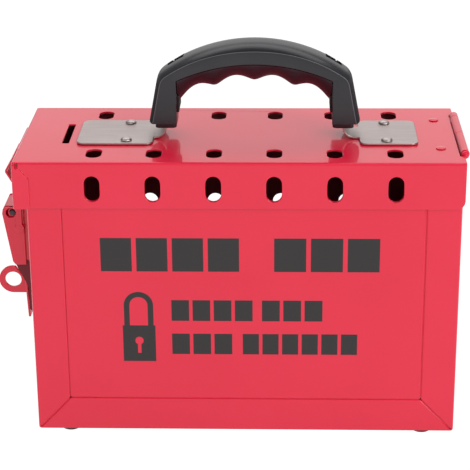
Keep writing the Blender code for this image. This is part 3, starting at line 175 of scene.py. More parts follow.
def noise(place, scale, detail=2.0, roughness=0.5, stretch=None):
    """Smooth noise on a place, of so many waves to the metre; stretch squeezes it along X, Y and Z."""
    if stretch:
        place = place.node("ShaderNodeMapping", {}, {"Vector": place, "Scale": stretch})
    sockets = {"Vector": place, "Scale": scale, "Detail": detail, "Roughness": roughness}
    return place.node("ShaderNodeTexNoise", {}, sockets)


def finish(name, steady):
    """A new material with the values that are the same all over, and its place and shader."""
    material = bpy.data.materials.new(name)
    material.use_nodes = True
    tree = material.node_tree
    shader = tree.nodes["Principled BSDF"]
    for key, value in steady.items():
        shader.inputs[key].default_value = value
    coordinates = tree.nodes.new("ShaderNodeTexCoord")
    return material, shader, Signal(tree, coordinates.outputs["Object"])


def rough_surface(place, height, strength, distance):
    """A Bump node's normal from a height signal."""
    sockets = {"Height": height, "Strength": strength, "Distance": distance}
    return place.node("ShaderNodeBump", {}, sockets)


# %% [markdown]
# ## Painted shade inside the box
# Little light gets into the box, so its inner faces are painted a darker, duller red, as shade, with less
# clear coat. A place is inside if it lies deeper than a skin behind every outer face, so the largest of its
# distances tells. The body and the lid have a mask each, because they part when the lid opens.

# %% Masks of the hollow sides
SKIN_DEPTH, SKIN_EDGE = 0.0007, 0.0001
TAB, HEM = 0.0012, 0.0002


def largest(a, b):
    return a.math("MAXIMUM", a, b)


def smallest(a, b):
    return a.math("MINIMUM", a, b)


def parts_of(place):
    """The three coordinates of a place, as signals."""
    split = place.node("ShaderNodeSeparateXYZ", {}, {0: place})
    return [Signal(place.tree, split.socket.node.outputs[k]) for k in range(3)]


def body_hollow(place):
    """1 inside the box and on its walls' cut edges, 0 on the outer faces."""
    x, y, z = parts_of(place)
    low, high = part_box("body_wrap")
    outside = largest(abs(y) - (high.y - SKIN_DEPTH), (low.x + SKIN_DEPTH) - x)
    outside = largest(outside, x - (high.x - SKIN_DEPTH))
    outside = largest(outside, (low.z + SKIN_DEPTH) - z)
    return outside.below(0.0, SKIN_EDGE)


def lid_hollow(place):
    """The same under the lid: its skirts are a tab thicker at the corners, and its hinge end is open."""
    x, y, z = parts_of(place)
    low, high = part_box("lid")
    outside = largest(abs(y) - (high.y - TAB - SKIN_DEPTH), z - (high.z - SKIN_DEPTH))
    outside = largest(outside, (low.x + SKIN_DEPTH) - x)
    outside = largest(outside, x - (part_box("body_wrap")[1].x - SKIN_DEPTH))
    outside = largest(outside, (low.z + HEM) - z)
    return outside.below(0.0, SKIN_EDGE)


# %% [markdown]
# ## Red powder coat
# The box is coated all over with a glossy red powder paint. It has the faint waves called orange peel, and
# its gloss makes a flat top look pale where it mirrors a bright room at a low angle. So the paint is a deep
# red under a clear coat, with a fine bump and a trace of cloudiness in the colour. Inside the box it is
# painted a darker, duller red with little clear coat, as shade.

# %% Red paint
PAINT_DEEP = (0.71, 0.002, 0.034, 1.0)
PAINT_BRIGHT = (0.78, 0.005, 0.044, 1.0)
# Painted shade: a darker, duller red for the inside of the box, where little light gets in.
PAINT_INSIDE_SHADE = (0.34, 0.045, 0.055, 1.0)
# Painted shade: a dark red for the webs behind the latch's lever.
PAINT_SHADED = (0.17, 0.004, 0.012, 1.0)
PRINT_INK = (0.029, 0.025, 0.026, 1.0)
CLOUD_WAVES, GLOSS_WAVES, PEEL_WAVES, FINE_PEEL_WAVES = 14.0, 45.0, 260.0, 900.0
CLOUD_SOFT, FINE_PEEL = 0.35, 0.35
PAINT_ROUGH, PAINT_ROUGHER = 0.28, 0.03
COAT, COAT_MORE = 0.80, 0.10
SHADE_COAT_LOST, INK_COAT_LOST, INK_ROUGHER = 0.8, 0.7, 0.12
PEEL_STRENGTH, PEEL_HEIGHT = 0.05, 0.0002


def red_paint(name, shade_mask, ink=None, shade_colour=PAINT_INSIDE_SHADE):
    """The red paint; two masks from the place give the painted shade, a darker duller red, and the print."""
    steady = {
        "Metallic": 0.0, "IOR": 1.5, "Specular IOR Level": 0.22, "Coat Roughness": 0.03, "Coat IOR": 1.5,
    }
    material, shader, place = finish(name, steady)
    tree = place.tree
    cloud = noise(place, CLOUD_WAVES, 3.0)
    colour = mixed(cloud.above(0.5, CLOUD_SOFT), PAINT_DEEP, PAINT_BRIGHT)
    roughness = PAINT_ROUGH + PAINT_ROUGHER * noise(place, GLOSS_WAVES)
    coat = COAT + COAT_MORE * cloud
    # Painted shade: where the mask is 1, the red is darker and duller, with less clear coat.
    dull = shade_mask(place)
    colour = mixed(dull, colour, shade_colour)
    coat = coat * (1.0 - dull * SHADE_COAT_LOST)
    if ink:
        mask = ink(place)
        colour = mixed(mask, colour, PRINT_INK)
        roughness = roughness + mask * INK_ROUGHER
        coat = coat * (1.0 - mask * INK_COAT_LOST)
    peel = noise(place, PEEL_WAVES, 1.0) + FINE_PEEL * noise(place, FINE_PEEL_WAVES, 1.0)
    plug(tree, shader.inputs["Base Color"], colour)
    plug(tree, shader.inputs["Roughness"], roughness)
    plug(tree, shader.inputs["Coat Weight"], coat)
    plug(tree, shader.inputs["Normal"], rough_surface(place, peel, PEEL_STRENGTH, PEEL_HEIGHT))
    return material


# %% [markdown]
# ## Print on the front
# The front carries marks printed in black ink. Here they are plain blocks and a padlock sign of simple
# shapes. Each mark is a signed distance worked out from the place on the panel: negative inside, so that
# `below(0)` is the ink, with an edge as soft as screen printing leaves it. A row of blocks is one long bar
# with gaps at even steps: PINGPONG folds the place along the bar to and fro, and is zero at each gap.

# %% Printed marks
INK_EDGE = 0.00012
FACE_SKIN, FACE_EDGE = 0.0004, 0.0001
PANEL_X = sum(corner.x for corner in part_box("front_panel")) / 2
# A row: the height of its middle, half its own height and half the gap between its blocks.
BIG_ROW = (0.1056, 0.0094, 0.0012)
UPPER_ROW = (0.0739, 0.0060, 0.0009)
LOWER_ROW = (0.0545, 0.0060, 0.0009)
# A row, where a bar starts and ends across the panel, and how many blocks it is cut into.
BLOCKS = (
    (BIG_ROW, -0.0763, -0.0014, 4), (BIG_ROW, 0.0144, 0.0718, 3),
    (UPPER_ROW, -0.0395, 0.0052, 4), (UPPER_ROW, 0.0083, 0.0420, 3),
    (LOWER_ROW, -0.0395, -0.0057, 3), (LOWER_ROW, -0.0019, 0.0606, 6),
)
SIGN_X, SIGN_BODY_Z = -0.0560, 0.0547
SIGN_HALF_WIDTH, SIGN_HALF_HEIGHT = 0.0087, 0.0105
SHACKLE_RADIUS, SHACKLE_LINE, SHACKLE_RISE = 0.0063, 0.0015, 0.0115
KEYHOLE_RADIUS, KEYHOLE_RISE, KEYHOLE_HALF, KEYHOLE_LONG = 0.0022, 0.0016, 0.0009, 0.0072
OVERLAP = 0.0004


def bar(x, z, low, high, centre_z, half):
    """How far a place is outside a square cornered bar: the larger of its distances along x and z."""
    across = abs(x - (low + high) / 2) - (high - low) / 2
    return largest(across, abs(z - centre_z) - half)


def blocks(x, z, row, low, high, count):
    """A bar cut into so many blocks of the same width."""
    centre_z, half, gap = row
    to_cut = x.math("PINGPONG", x - low, (high - low) / count / 2)
    return largest(bar(x, z, low, high, centre_z, half), gap - to_cut)


def padlock_sign(x, z):
    """A plain padlock: a block with a keyhole, and a shackle of two straight legs and a half ring."""
    block = bar(x, z, SIGN_X - SIGN_HALF_WIDTH, SIGN_X + SIGN_HALF_WIDTH, SIGN_BODY_Z, SIGN_HALF_HEIGHT)
    aside = abs(x - SIGN_X)
    eye_z = SIGN_BODY_Z + KEYHOLE_RISE
    eye = x.math("SQRT", aside * aside + (z - eye_z) * (z - eye_z)) - KEYHOLE_RADIUS
    slit_half = KEYHOLE_LONG / 2
    slit = bar(x, z, SIGN_X - KEYHOLE_HALF, SIGN_X + KEYHOLE_HALF, eye_z - slit_half, slit_half)
    block = largest(block, smallest(eye, slit) * -1.0)
    block_top = SIGN_BODY_Z + SIGN_HALF_HEIGHT
    centre_z = block_top + SHACKLE_RISE
    ring = x.math("SQRT", aside * aside + (z - centre_z) * (z - centre_z))
    ring = largest(abs(ring - SHACKLE_RADIUS) - SHACKLE_LINE, (centre_z - OVERLAP) - z)
    legs = largest(abs(aside - SHACKLE_RADIUS) - SHACKLE_LINE, z - centre_z)
    legs = largest(legs, (block_top - OVERLAP) - z)
    return smallest(block, smallest(ring, legs))


def front_print(place):
    """1 where there is ink on the front panel's outer face, 0 elsewhere."""
    x, y, z = parts_of(place)
    x = x - PANEL_X
    distance = padlock_sign(x, z)
    for row_of_blocks in BLOCKS:
        distance = smallest(distance, blocks(x, z, *row_of_blocks))
    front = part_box("front_panel")[0].y
    return distance.below(0.0, INK_EDGE) * y.below(front + FACE_SKIN, FACE_EDGE)


# %% Paints
paint = red_paint("red_paint", body_hollow)
lid_paint = red_paint("red_paint_lid", lid_hollow)
printed_paint = red_paint("red_paint_printed", body_hollow, front_print)

# %% [markdown]
# ## Brushed steel, moulded plastic and rubber
# The brackets are plain steel with the long fine scratches of a brush, so their noise is squeezed hard
# across the stroke. The handle has a dull, finely grained skin, and the feet are rubber, duller still.

# %% Other finishes
STEEL_DARK = (0.505, 0.434, 0.418, 1.0)
STEEL_PALE = (0.693, 0.597, 0.575, 1.0)
PIN_DARK = (0.045, 0.040, 0.042, 1.0)
PIN_PALE = (0.090, 0.075, 0.080, 1.0)
BRUSH_STRETCH = (1.0, 30.0, 30.0)
BRUSH_WAVES, STEEL_CLOUD_WAVES, WEAR_WAVES = 60.0, 35.0, 60.0
BRUSH_SHARE, CLOUD_SHARE, STEEL_SOFT = 0.7, 0.3, 0.16
STEEL_ROUGH, STEEL_ROUGHER = 0.30, 0.22
BRUSH_STRENGTH, BRUSH_HEIGHT = 0.12, 0.0001
WEAR_EDGE, WEAR_SOFT, WEAR_ROUGHER = 0.6, 0.2, 0.03
HIGHLIGHT_LEAST, HIGHLIGHT_MORE = 0.8, 0.2
GRAIN_STRENGTH, GRAIN_HEIGHT, GRAIN_ROUGHER = 0.10, 0.00015, 0.02
FINE_GRAIN, COARSE_GRAIN = 1400.0, 900.0
SATIN, SOFT_SATIN, DULL = 0.275, 0.42, 0.68
PLASTIC_BASE = (0.009, 0.008, 0.012, 1.0)
PLASTIC_WORN = (0.015, 0.014, 0.019, 1.0)
# Painted highlight: the pale colour along the handle's creases.
PLASTIC_PAINTED_HIGHLIGHT = (0.120, 0.116, 0.128, 1.0)
MATT_MORE = 0.62
# Painted highlight: a near-white colour for the small ball that stands for the glint in each slot.
GLINT_WHITE = (0.90, 0.89, 0.89, 1.0)
# Painted shade: near-black colours for the far ends of the shoulder slots and for the grip's tongues.
DEEP_SHADE_DARK = (0.002, 0.002, 0.003, 1.0)
DEEP_SHADE_PALE = (0.004, 0.004, 0.005, 1.0)
RUBBER_BASE = (0.012, 0.012, 0.012, 1.0)
RUBBER_DUSTY = (0.035, 0.033, 0.032, 1.0)


def brushed_steel(name, dark, pale):
    """Steel between two colours, by the brush's scratches and a little by soft clouds."""
    material, shader, place = finish(name, {"Metallic": 1.0})
    brush = noise(place, BRUSH_WAVES, 4.0, 0.6, BRUSH_STRETCH)
    cloud = noise(place, STEEL_CLOUD_WAVES)
    tone = brush * BRUSH_SHARE + cloud * CLOUD_SHARE
    plug(place.tree, shader.inputs["Base Color"], mixed(tone.above(0.5, STEEL_SOFT), dark, pale))
    plug(place.tree, shader.inputs["Roughness"], STEEL_ROUGH + STEEL_ROUGHER * brush)
    plug(place.tree, shader.inputs["Normal"], rough_surface(place, brush, BRUSH_STRENGTH, BRUSH_HEIGHT))
    return material


def grained_skin(name, base, worn, roughness, grain, crease_highlight=None):
    """Plastic, rubber or a painted glint: a grain of so many waves to the metre, and a little wear in the
    colour.

    With a highlight colour, the piece's attribute "mark" is read: the colour is the painted highlight where
    the mark is 1, and the skin is matt where it is -1.
    """
    material, shader, place = finish(name, {"Metallic": 0.0, "IOR": 1.55})
    skin_grain = noise(place, grain)
    wear = noise(place, WEAR_WAVES, 3.0)
    colour = mixed(wear.above(WEAR_EDGE, WEAR_SOFT), base, worn)
    roughness = roughness + WEAR_ROUGHER * wear + GRAIN_ROUGHER * skin_grain
    if crease_highlight:
        mark = place.node("ShaderNodeAttribute", {"attribute_name": "mark"}, output=2)
        colour = mixed(largest(mark, 0.0) * (HIGHLIGHT_LEAST + HIGHLIGHT_MORE * wear), colour, crease_highlight)
        roughness = roughness + largest(mark * -1.0, 0.0) * MATT_MORE
    plug(place.tree, shader.inputs["Base Color"], colour)
    plug(place.tree, shader.inputs["Roughness"], roughness)
    plug(place.tree, shader.inputs["Normal"], rough_surface(place, skin_grain, GRAIN_STRENGTH, GRAIN_HEIGHT))
    return material


steel = brushed_steel("brushed_steel", STEEL_DARK, STEEL_PALE)
dark_steel = brushed_steel("near_black_steel", PIN_DARK, PIN_PALE)
moulded = (PLASTIC_BASE, PLASTIC_WORN)
plastic = grained_skin("black_plastic", *moulded, SATIN, FINE_GRAIN)
shell_plastic = grained_skin("black_plastic_shell", *moulded, SATIN, FINE_GRAIN, PLASTIC_PAINTED_HIGHLIGHT)
grip_plastic = grained_skin("black_plastic_grip", *moulded, SOFT_SATIN, FINE_GRAIN)
glint_finish = grained_skin("glint_finish", GLINT_WHITE, GLINT_WHITE, SOFT_SATIN, COARSE_GRAIN)
rubber = grained_skin("black_rubber", RUBBER_BASE, RUBBER_DUSTY, DULL, COARSE_GRAIN)
deep_shade = grained_skin("painted_deep_shade", DEEP_SHADE_DARK, DEEP_SHADE_PALE, DULL, FINE_GRAIN)
finishes = {"red_paint": paint, "steel": steel, "handle_plastic": plastic, "rubber": rubber}
print("finishes:", sorted(finishes))

# %% [markdown]
# ## Pressed and folded steel
# Sheet pieces keep the shapes that the construction model cut and folded. What they lack is the small round
# that paint gives every sheared edge, and an edge without it catches no light. So each sheet is copied, its
# doubled points are merged and its flat triangles joined, and a narrow bevel goes round its sharp edges.

# %% Soft edged copies
EDGE_ROUND = 0.00022
SEAM_ROUND = 0.0006
MERGE_DISTANCE = 0.000004
FLAT_ANGLE = math.radians(0.6)
FOLD_ANGLE = math.radians(36)
RELIEF_X, RELIEF_DROP, RELIEF_WIDE, RELIEF_TALL, RELIEF_DEEP = 0.0023, 0.0004, 0.0010, 0.0020, 0.0020
record = frame["record"]
slot_of = {entry["node"]: entry["material_slot"] for entry in record["subparts"]}
body_of = {node: body for body, nodes in record["behaviour"]["bodies"].items() for node in nodes}


def settle(piece, node, material=None):
    """Gives a finished piece its finish and the body it rides on, and hides the node it stands for."""
    piece.data.materials.clear()
    own = finishes[slot_of[node]]
    if own is paint and body_of[node] == "cover":
        own = lid_paint
    piece.data.materials.append(material or own)
    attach(piece, body_of[node])
    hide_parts(node)
    return piece


def prisms(name, outlines, low, high):
    """Flat outlines in X and Z, each a solid from one Y to another, in one mesh."""
    points, faces = [], []
    for outline in outlines:
        near = list(range(len(points), len(points) + len(outline)))
        far = [k + len(outline) for k in near]
        points += [(x, low, z) for x, z in outline] + [(x, high, z) for x, z in outline]
        faces += [near, far]
        faces += [list(side) for side in zip(near, near[1:] + near[:1], far[1:] + far[:1], far)]
    mesh = bpy.data.meshes.new(name)
    mesh.from_pydata(points, [], faces)
    bm = bmesh.new()
    bm.from_mesh(mesh)
    bmesh.ops.recalc_face_normals(bm, faces=bm.faces)
    bm.to_mesh(mesh)
    bm.free()
    return placed(name, mesh)


def carved(piece, cutter):
    """Cuts one piece with another by an exact Boolean, keeps the result and removes the cutter."""
    step = piece.modifiers.new("carve", "BOOLEAN")
    step.object = cutter
    step.solver = "EXACT"
    evaluated = piece.evaluated_get(bpy.context.evaluated_depsgraph_get())
    result = bpy.data.meshes.new_from_object(evaluated)
    piece.modifiers.clear()
    piece.data = result
    bpy.data.objects.remove(cutter)


def soft_edged(node, edge=EDGE_ROUND, material=None, cutters=()):
    """A merged copy of a node with rounded edges; the cutters, if any, cut it first."""
    bm = bmesh.new()
    bm.from_mesh(frame["nodes"][node].data)
    bmesh.ops.remove_doubles(bm, verts=bm.verts, dist=MERGE_DISTANCE)
    bmesh.ops.dissolve_limit(bm, angle_limit=FLAT_ANGLE, verts=bm.verts, edges=bm.edges)
    mesh = bpy.data.meshes.new(node + "_formed")
    bm.to_mesh(mesh)
    bm.free()
    mesh.shade_smooth()
    piece = placed(mesh.name, mesh)
    for cutter in cutters:
        carved(piece, cutter)
    piece.data.set_sharp_from_angle(angle=FOLD_ANGLE)
    bevel = piece.modifiers.new("edge", "BEVEL")
    bevel.width = edge
    bevel.segments = 2
    bevel.limit_method = "ANGLE"
    bevel.angle_limit = FOLD_ANGLE
    bevel.use_clamp_overlap = False
    weighted = piece.modifiers.new("flat_faces", "WEIGHTED_NORMAL")
    weighted.mode = "FACE_AREA"
    weighted.weight = 50
    weighted.keep_sharp = True
    return settle(piece, node, material)


def corner_holes():
    """Cutters for the small relief holes where the lid's left corner tabs leave its top."""
    low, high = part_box("lid")
    left, top = low.x + RELIEF_X, high.z - RELIEF_DROP
    right, bottom = left + RELIEF_WIDE, top - RELIEF_TALL
    outline = [(left, bottom), (right, bottom), (right, top), (left, top)]
    front = prisms("relief_front", [outline], low.y - RELIEF_DEEP, low.y + RELIEF_DEEP)
    rear = prisms("relief_rear", [outline], high.y - RELIEF_DEEP, high.y + RELIEF_DEEP)
    return front, rear


sheets = (
    "rear_panel", "keeper", "latch_base", "latch_lever", "latch_claw", "hinge_wall_leaf",
    "hinge_lid_leaf", "hinge_pin", "handle_bracket_left", "handle_bracket_right",
)
for node in sheets:
    soft_edged(node)
soft_edged("body_wrap", SEAM_ROUND)
soft_edged("lid", cutters=corner_holes())
soft_edged("front_panel", SEAM_ROUND, printed_paint)
print("soft edged sheets:", len(sheets) + 3)

# %% [markdown]
# ## Surfaces from numpy
# The moulded and turned pieces are surfaces: a closed section, given as arrays, is carried along a path, and
# the rows of points are joined by quads. `rounded_loop` gives a section's corners their fillets, and `skin`
# turns the rows into a mesh whose faces point outwards.


# %% Surface helpers
ARC_STEPS = 5
RING_POINTS = 40
WELD_DISTANCE = 1e-7


def rounded_loop(corners):
    """Closed sections with filleted corners, for every station at once.

    Each corner is (a, b, radius), where a and b are arrays over the stations. A corner with a radius
    becomes an arc: its centre lies on the bisector at radius / sin(half the corner's angle), and the
    points swing from one tangent point to the other by spherical interpolation.
    """
    count = max(np.size(value) for corner in corners for value in corner[:2])
    points = np.stack([
        np.stack([np.broadcast_to(np.asarray(v, float), (count,)) for v in c[:2]], -1) for c in corners
    ], 1)
    loops = []
    for k, corner in enumerate(corners):
        here = points[:, k]
        if not corner[2]:
            loops.append(here[:, None])
            continue
        back = points[:, k - 1] - here
        on = points[:, (k + 1) % len(corners)] - here
        back /= np.linalg.norm(back, axis=1, keepdims=True)
        on /= np.linalg.norm(on, axis=1, keepdims=True)
        half = np.arccos(np.clip((back * on).sum(1), -1, 1))[:, None] / 2
        bisector = back + on
        bisector /= np.linalg.norm(bisector, axis=1, keepdims=True)
        centre = here + bisector * corner[2] / np.sin(half)
        start = here + back * corner[2] / np.tan(half) - centre
        end = here + on * corner[2] / np.tan(half) - centre
        swing = math.pi - 2 * half
        share = np.linspace(0, 1, ARC_STEPS)[None, :, None]
        swing = swing[:, :, None]
        arc = np.sin((1 - share) * swing) * start[:, None] + np.sin(share * swing) * end[:, None]
        loops.append(centre[:, None] + arc / np.sin(swing))
    return np.concatenate(loops, 1)


def skin(name, sections, smooth=40, mark=None):
    """A closed mesh through closed sections (stations x points x 3), with a face over each end.

    The mark, if any, is one number for each point, kept as the attribute "mark".
    """
    stations, around, _ = sections.shape
    index = np.arange(stations * around).reshape(stations, around)
    low, high = index[:-1], index[1:]
    quads = np.stack([low, np.roll(low, -1, 1), np.roll(high, -1, 1), high], -1).reshape(-1, 4)
    faces = quads.tolist() + [index[0][::-1].tolist(), index[-1].tolist()]
    mesh = bpy.data.meshes.new(name)
    mesh.from_pydata(sections.reshape(-1, 3), [], faces)
    if mark is not None:
        mesh.attributes.new("mark", "FLOAT", "POINT").data.foreach_set("value", mark.ravel())
    bm = bmesh.new()
    bm.from_mesh(mesh)
    bmesh.ops.remove_doubles(bm, verts=bm.verts, dist=WELD_DISTANCE)
    bmesh.ops.recalc_face_normals(bm, faces=bm.faces)
    bm.to_mesh(mesh)
    bm.free()
    mesh.shade_smooth()
    mesh.set_sharp_from_angle(angle=math.radians(smooth))
    return placed(name, mesh)


def turned(name, radii, places, centre, axis, around=RING_POINTS):
    """A turned piece: at each place along the axis, a ring of that radius about the centre line."""
    angle = np.linspace(0, 2 * math.pi, around, endpoint=False)
    a = centre[0] + np.outer(radii, np.cos(angle))
    b = centre[1] + np.outer(radii, np.sin(angle))
    c = np.repeat(np.asarray(places, float)[:, None], around, 1)
    order = {"X": (c, a, b), "Y": (a, c, b), "Z": (a, b, c)}[axis]
    return skin(name, np.stack(order, -1))


# %% [markdown]
# ## The handle's lines
# The shell is an arch: a shallow crown, round shoulders and two legs that lean out. Seen from the front it
# lies between an outer line along its back and an inner line along its rim. The outer line is worked out by
# its slope, so one formula covers both of its arcs.

# %% Outer and inner line
shell_low, shell_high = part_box("handle_shell")
HANDLE_X = (shell_low.x + shell_high.x) / 2
HALF_DEPTH = (shell_high.y - shell_low.y) / 2
CROWN_LOWER = 0.0005
CROWN_TOP = shell_high.z - CROWN_LOWER
HALF_SPAN = 0.0518
CROWN_RADIUS = 0.082
SHOULDER_RADIUS = 0.009
LEG_WIDE = 0.0109
LEG_INSIDE = HALF_SPAN - LEG_WIDE
LEG_DRAFT = math.radians(9.0)
BAND = 0.0103
UNDER_RADIUS = 0.0977
DOME_CROWN, DOME_SHOULDER, DOME_LEG = 0.0032, 0.0022, 0.0021
CROWN_STATIONS, SHOULDER_STATIONS, LEG_STATIONS = 39, 25, 16
DROP_SHARE = 0.35
CORNER_DROP = SHOULDER_RADIUS * DROP_SHARE
FLARE = 0.0007
leg_start = HALF_SPAN - SHOULDER_RADIUS * math.cos(LEG_DRAFT)
crown_limit = math.asin(leg_start / (CROWN_RADIUS - SHOULDER_RADIUS))


def crown_line(angle):
    """The outer line by its slope: an arc of the crown's radius, then one of the shoulder's."""
    kept = np.minimum(angle, crown_limit)
    inner = CROWN_RADIUS - SHOULDER_RADIUS
    x = inner * np.sin(kept) + SHOULDER_RADIUS * np.sin(angle)
    z = CROWN_TOP - CROWN_RADIUS + inner * np.cos(kept) + SHOULDER_RADIUS * np.cos(angle)
    return x, z


def under_line(x):
    """The shell's lower rim under the crown: an arc whose top is one band below the crown's."""
    return CROWN_TOP - BAND - UNDER_RADIUS + np.sqrt(UNDER_RADIUS ** 2 - x ** 2)


def half_arch(foot):
    """Outer line, inner line and height of the dome, from the crown's middle to the foot of a leg.

    The dome is lower towards the leg: its height follows half a cosine wave along the crown, and another
    round the shoulder.
    """
    crown = np.linspace(0, 1, CROWN_STATIONS, endpoint=False)
    shoulder = np.linspace(0, 1, SHOULDER_STATIONS, endpoint=False)
    leg = np.linspace(0, 1, LEG_STATIONS)
    end = math.pi / 2 - LEG_DRAFT
    crown_x, crown_z = crown_line(crown * crown_limit)
    shoulder_x, shoulder_z = crown_line(crown_limit + shoulder * (end - crown_limit))
    top_x, top_z = crown_line(np.array(end))
    leg_z = top_z + leg * (foot - top_z)
    leg_x = top_x + (top_z - leg_z) * math.tan(LEG_DRAFT) + FLARE * leg
    outer_x = np.concatenate([crown_x, shoulder_x, leg_x])
    outer_z = np.concatenate([crown_z, shoulder_z, leg_z])
    corner_z = under_line(LEG_INSIDE)
    inner_x = np.concatenate([crown * LEG_INSIDE, np.full(len(shoulder) + len(leg), LEG_INSIDE)])
    inner_z = np.concatenate([
        under_line(crown * LEG_INSIDE),
        corner_z - shoulder * CORNER_DROP,
        corner_z - CORNER_DROP + leg * (foot - corner_z + CORNER_DROP),
    ])
    fade = 0.5 + 0.5 * np.cos(math.pi * crown)
    ease = 0.5 + 0.5 * np.cos(math.pi * shoulder)
    dome = np.concatenate([
        DOME_SHOULDER + fade * (DOME_CROWN - DOME_SHOULDER),
        DOME_LEG + ease * (DOME_SHOULDER - DOME_LEG),
        np.full(len(leg), DOME_LEG),
    ])
    return np.stack([outer_x, outer_z], -1), np.stack([inner_x, inner_z], -1), dome


def mirrored_arch(foot):
    """The whole arch, foot to foot: the half run backwards with its x turned round, and then the half."""
    outer, inner, dome = half_arch(foot)
    flip = np.array([-1.0, 1.0])
    return (
        np.concatenate([outer[:0:-1] * flip, outer]),
        np.concatenate([inner[:0:-1] * flip, inner]),
        np.concatenate([dome[:0:-1], dome]),
    )


print("the crown's arc ends at, degrees:", round(math.degrees(crown_limit), 1))

# %% [markdown]
# ## The handle's shell
# In section the shell is a channel with a domed back, and a crease runs along each side where the dome meets
# the flank. A section stands on each pair of points of the two lines. Each crease gets a painted highlight,
# a pale line, and the legs' backs are duller, so each point also gets a mark that the plastic's finish
# reads.

# %% Handle shell
DOME_POWER = 3.6
CREASE_ROUND, RIM_ROUND, LIP_ROUND, ROOF_ROUND = 0.0005, 0.0005, 0.0004, 0.0012
WALL, BACK_POINTS, BACK_START = 0.0022, 31, 0.2
MATT_DROP, MATT_FADE = 0.0160, 0.0060


def shell_sections():
    """Places a channel section at every station: across it is Y, and away from the rim is the way out.

    The back rises by dome * (1 - |y / half depth| ^ n) over the flanks: a large n makes a flatter back that
    falls more steeply to the sides. The corner where it meets the flank is the crease.
    """
    outer, inner, dome = mirrored_arch(shell_low.z)
    away = outer - inner
    height = np.linalg.norm(away, axis=1)
    away /= height[:, None]
    back = []
    for turn in [math.pi, *np.linspace(math.pi - BACK_START, BACK_START, BACK_POINTS), 0.0]:
        across = math.cos(turn)
        crease = CREASE_ROUND if abs(across) == 1 else 0
        back.append((HALF_DEPTH * across, height - dome * abs(across) ** DOME_POWER, crease))
    cave = HALF_DEPTH - WALL
    roof = height - dome - WALL
    corners = [(-HALF_DEPTH, 0, RIM_ROUND), *back, (HALF_DEPTH, 0, RIM_ROUND)]
    corners += [(cave, 0, LIP_ROUND), (cave, roof, ROOF_ROUND)]
    corners += [(-cave, roof, ROOF_ROUND), (-cave, 0, LIP_ROUND)]
    loop = rounded_loop(corners)
    flat = inner[:, None] + away[:, None] * loop[..., 1:]
    x, z = flat[..., 0], flat[..., 1]
    return np.stack([HANDLE_X + x, loop[..., 0], z], -1), crease_mark(z, loop.shape[1])


def crease_mark(z, around):
    """1 on the creases' fillets' middle points, for the painted highlight, and between them down to -1 on
    the legs' backs.
    """
    leg = np.clip((CROWN_TOP - MATT_DROP - z) / MATT_FADE, 0.0, 1.0)
    mark = np.zeros((len(z), around))
    first_crease = ARC_STEPS
    last_crease = 2 * ARC_STEPS + BACK_POINTS
    inside = slice(first_crease + ARC_STEPS, last_crease)
    mark[:, inside] = -leg[:, inside]
    for start in (first_crease, last_crease):
        mark[:, start + 1:start + ARC_STEPS - 1] = 1.0
    return mark


sections, mark = shell_sections()
shell = skin("handle_shell_moulded", sections, smooth=50, mark=mark)
print("handle shell faces:", len(shell.data.polygons))

# %% [markdown]
# ## Slots in the shoulders
# Each shoulder of the shell has a slot in the rear half of its back. An exact Boolean cuts both at once. A
# near-black sheet at each slot's far end is painted shade, and a small white ball in it is a painted glint.

# %% Shoulder slots
SLOT_ANGLE, SLOT_HALF_LENGTH, SLOT_SINK, SLOT_LIFT = math.radians(30.7), 0.0049, 0.0032, 0.003
SLOT_NEAR, SLOT_FAR = 0.0006, 0.0090
SHADE_SHEET_NEAR, SHADE_SHEET_FAR, SHADE_SHEET_SHRINK, SHADE_SHEET_LIFT = 0.0086, 0.00898, 0.97, -0.0007
GLINT_RADIUS, GLINT_Y, GLINT_BACK, GLINT_SINK = 0.0005, 0.0065, 0.0012, 0.00062
slot_x, slot_z = crown_line(np.array(SLOT_ANGLE))


def shoulder_slot(side, share=1.0, lift=SLOT_LIFT):
    """A slot's outline across the crown: a rectangle about a point of the outer line, along its slope."""
    middle = np.array([slot_x, slot_z])
    along = np.array([math.cos(SLOT_ANGLE), -math.sin(SLOT_ANGLE)]) * SLOT_HALF_LENGTH * share
    out = np.array([math.sin(SLOT_ANGLE), math.cos(SLOT_ANGLE)])
    corners = (
        middle - along + out * lift, middle + along + out * lift,
        middle + along - out * SLOT_SINK, middle - along - out * SLOT_SINK,
    )
    return [(HANDLE_X + side * c[0], c[1]) for c in corners]


carved(shell, prisms("slot_cutter", [shoulder_slot(-1), shoulder_slot(1)], SLOT_NEAR, SLOT_FAR))
settle(shell, "handle_shell", shell_plastic)
turn = np.linspace(0, math.pi, 15)
pin_radii = GLINT_RADIUS * np.sin(turn)
pin_places = GLINT_Y - GLINT_RADIUS * np.cos(turn)
pin_z = slot_z - GLINT_BACK * math.tan(SLOT_ANGLE) - GLINT_SINK
for word, side in (("left", -1), ("right", 1)):
    # A near-black sheet at the slot's far end: painted shade.
    shade_sheet_outline = shoulder_slot(side, SHADE_SHEET_SHRINK, SHADE_SHEET_LIFT)
    shade_sheet = prisms("slot_shade_sheet_" + word, [shade_sheet_outline], SHADE_SHEET_NEAR, SHADE_SHEET_FAR)
    centre = (HANDLE_X + side * (slot_x + GLINT_BACK), pin_z)
    # The ball's near-white colour is a painted glint.
    pin = turned("slot_glint_pin_" + word, pin_radii, pin_places, centre, "Y", RING_POINTS // 2)
    for piece, finish_of, slot in ((shade_sheet, deep_shade, "handle_plastic"), (pin, glint_finish, "steel")):
        piece.data.materials.append(finish_of)
        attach(piece, "cover")
print("faces with the slots:", len(shell.data.polygons))

# %% [markdown]
# ## The handle's grip
# The grip fills the shell from below. Its underside is rounded across, and along the handle it follows an
# arc with four finger scallops. A plain sine's bumps would meet in knife edges, so the wave is the root of a
# square plus a little constant, which rounds each cusp.

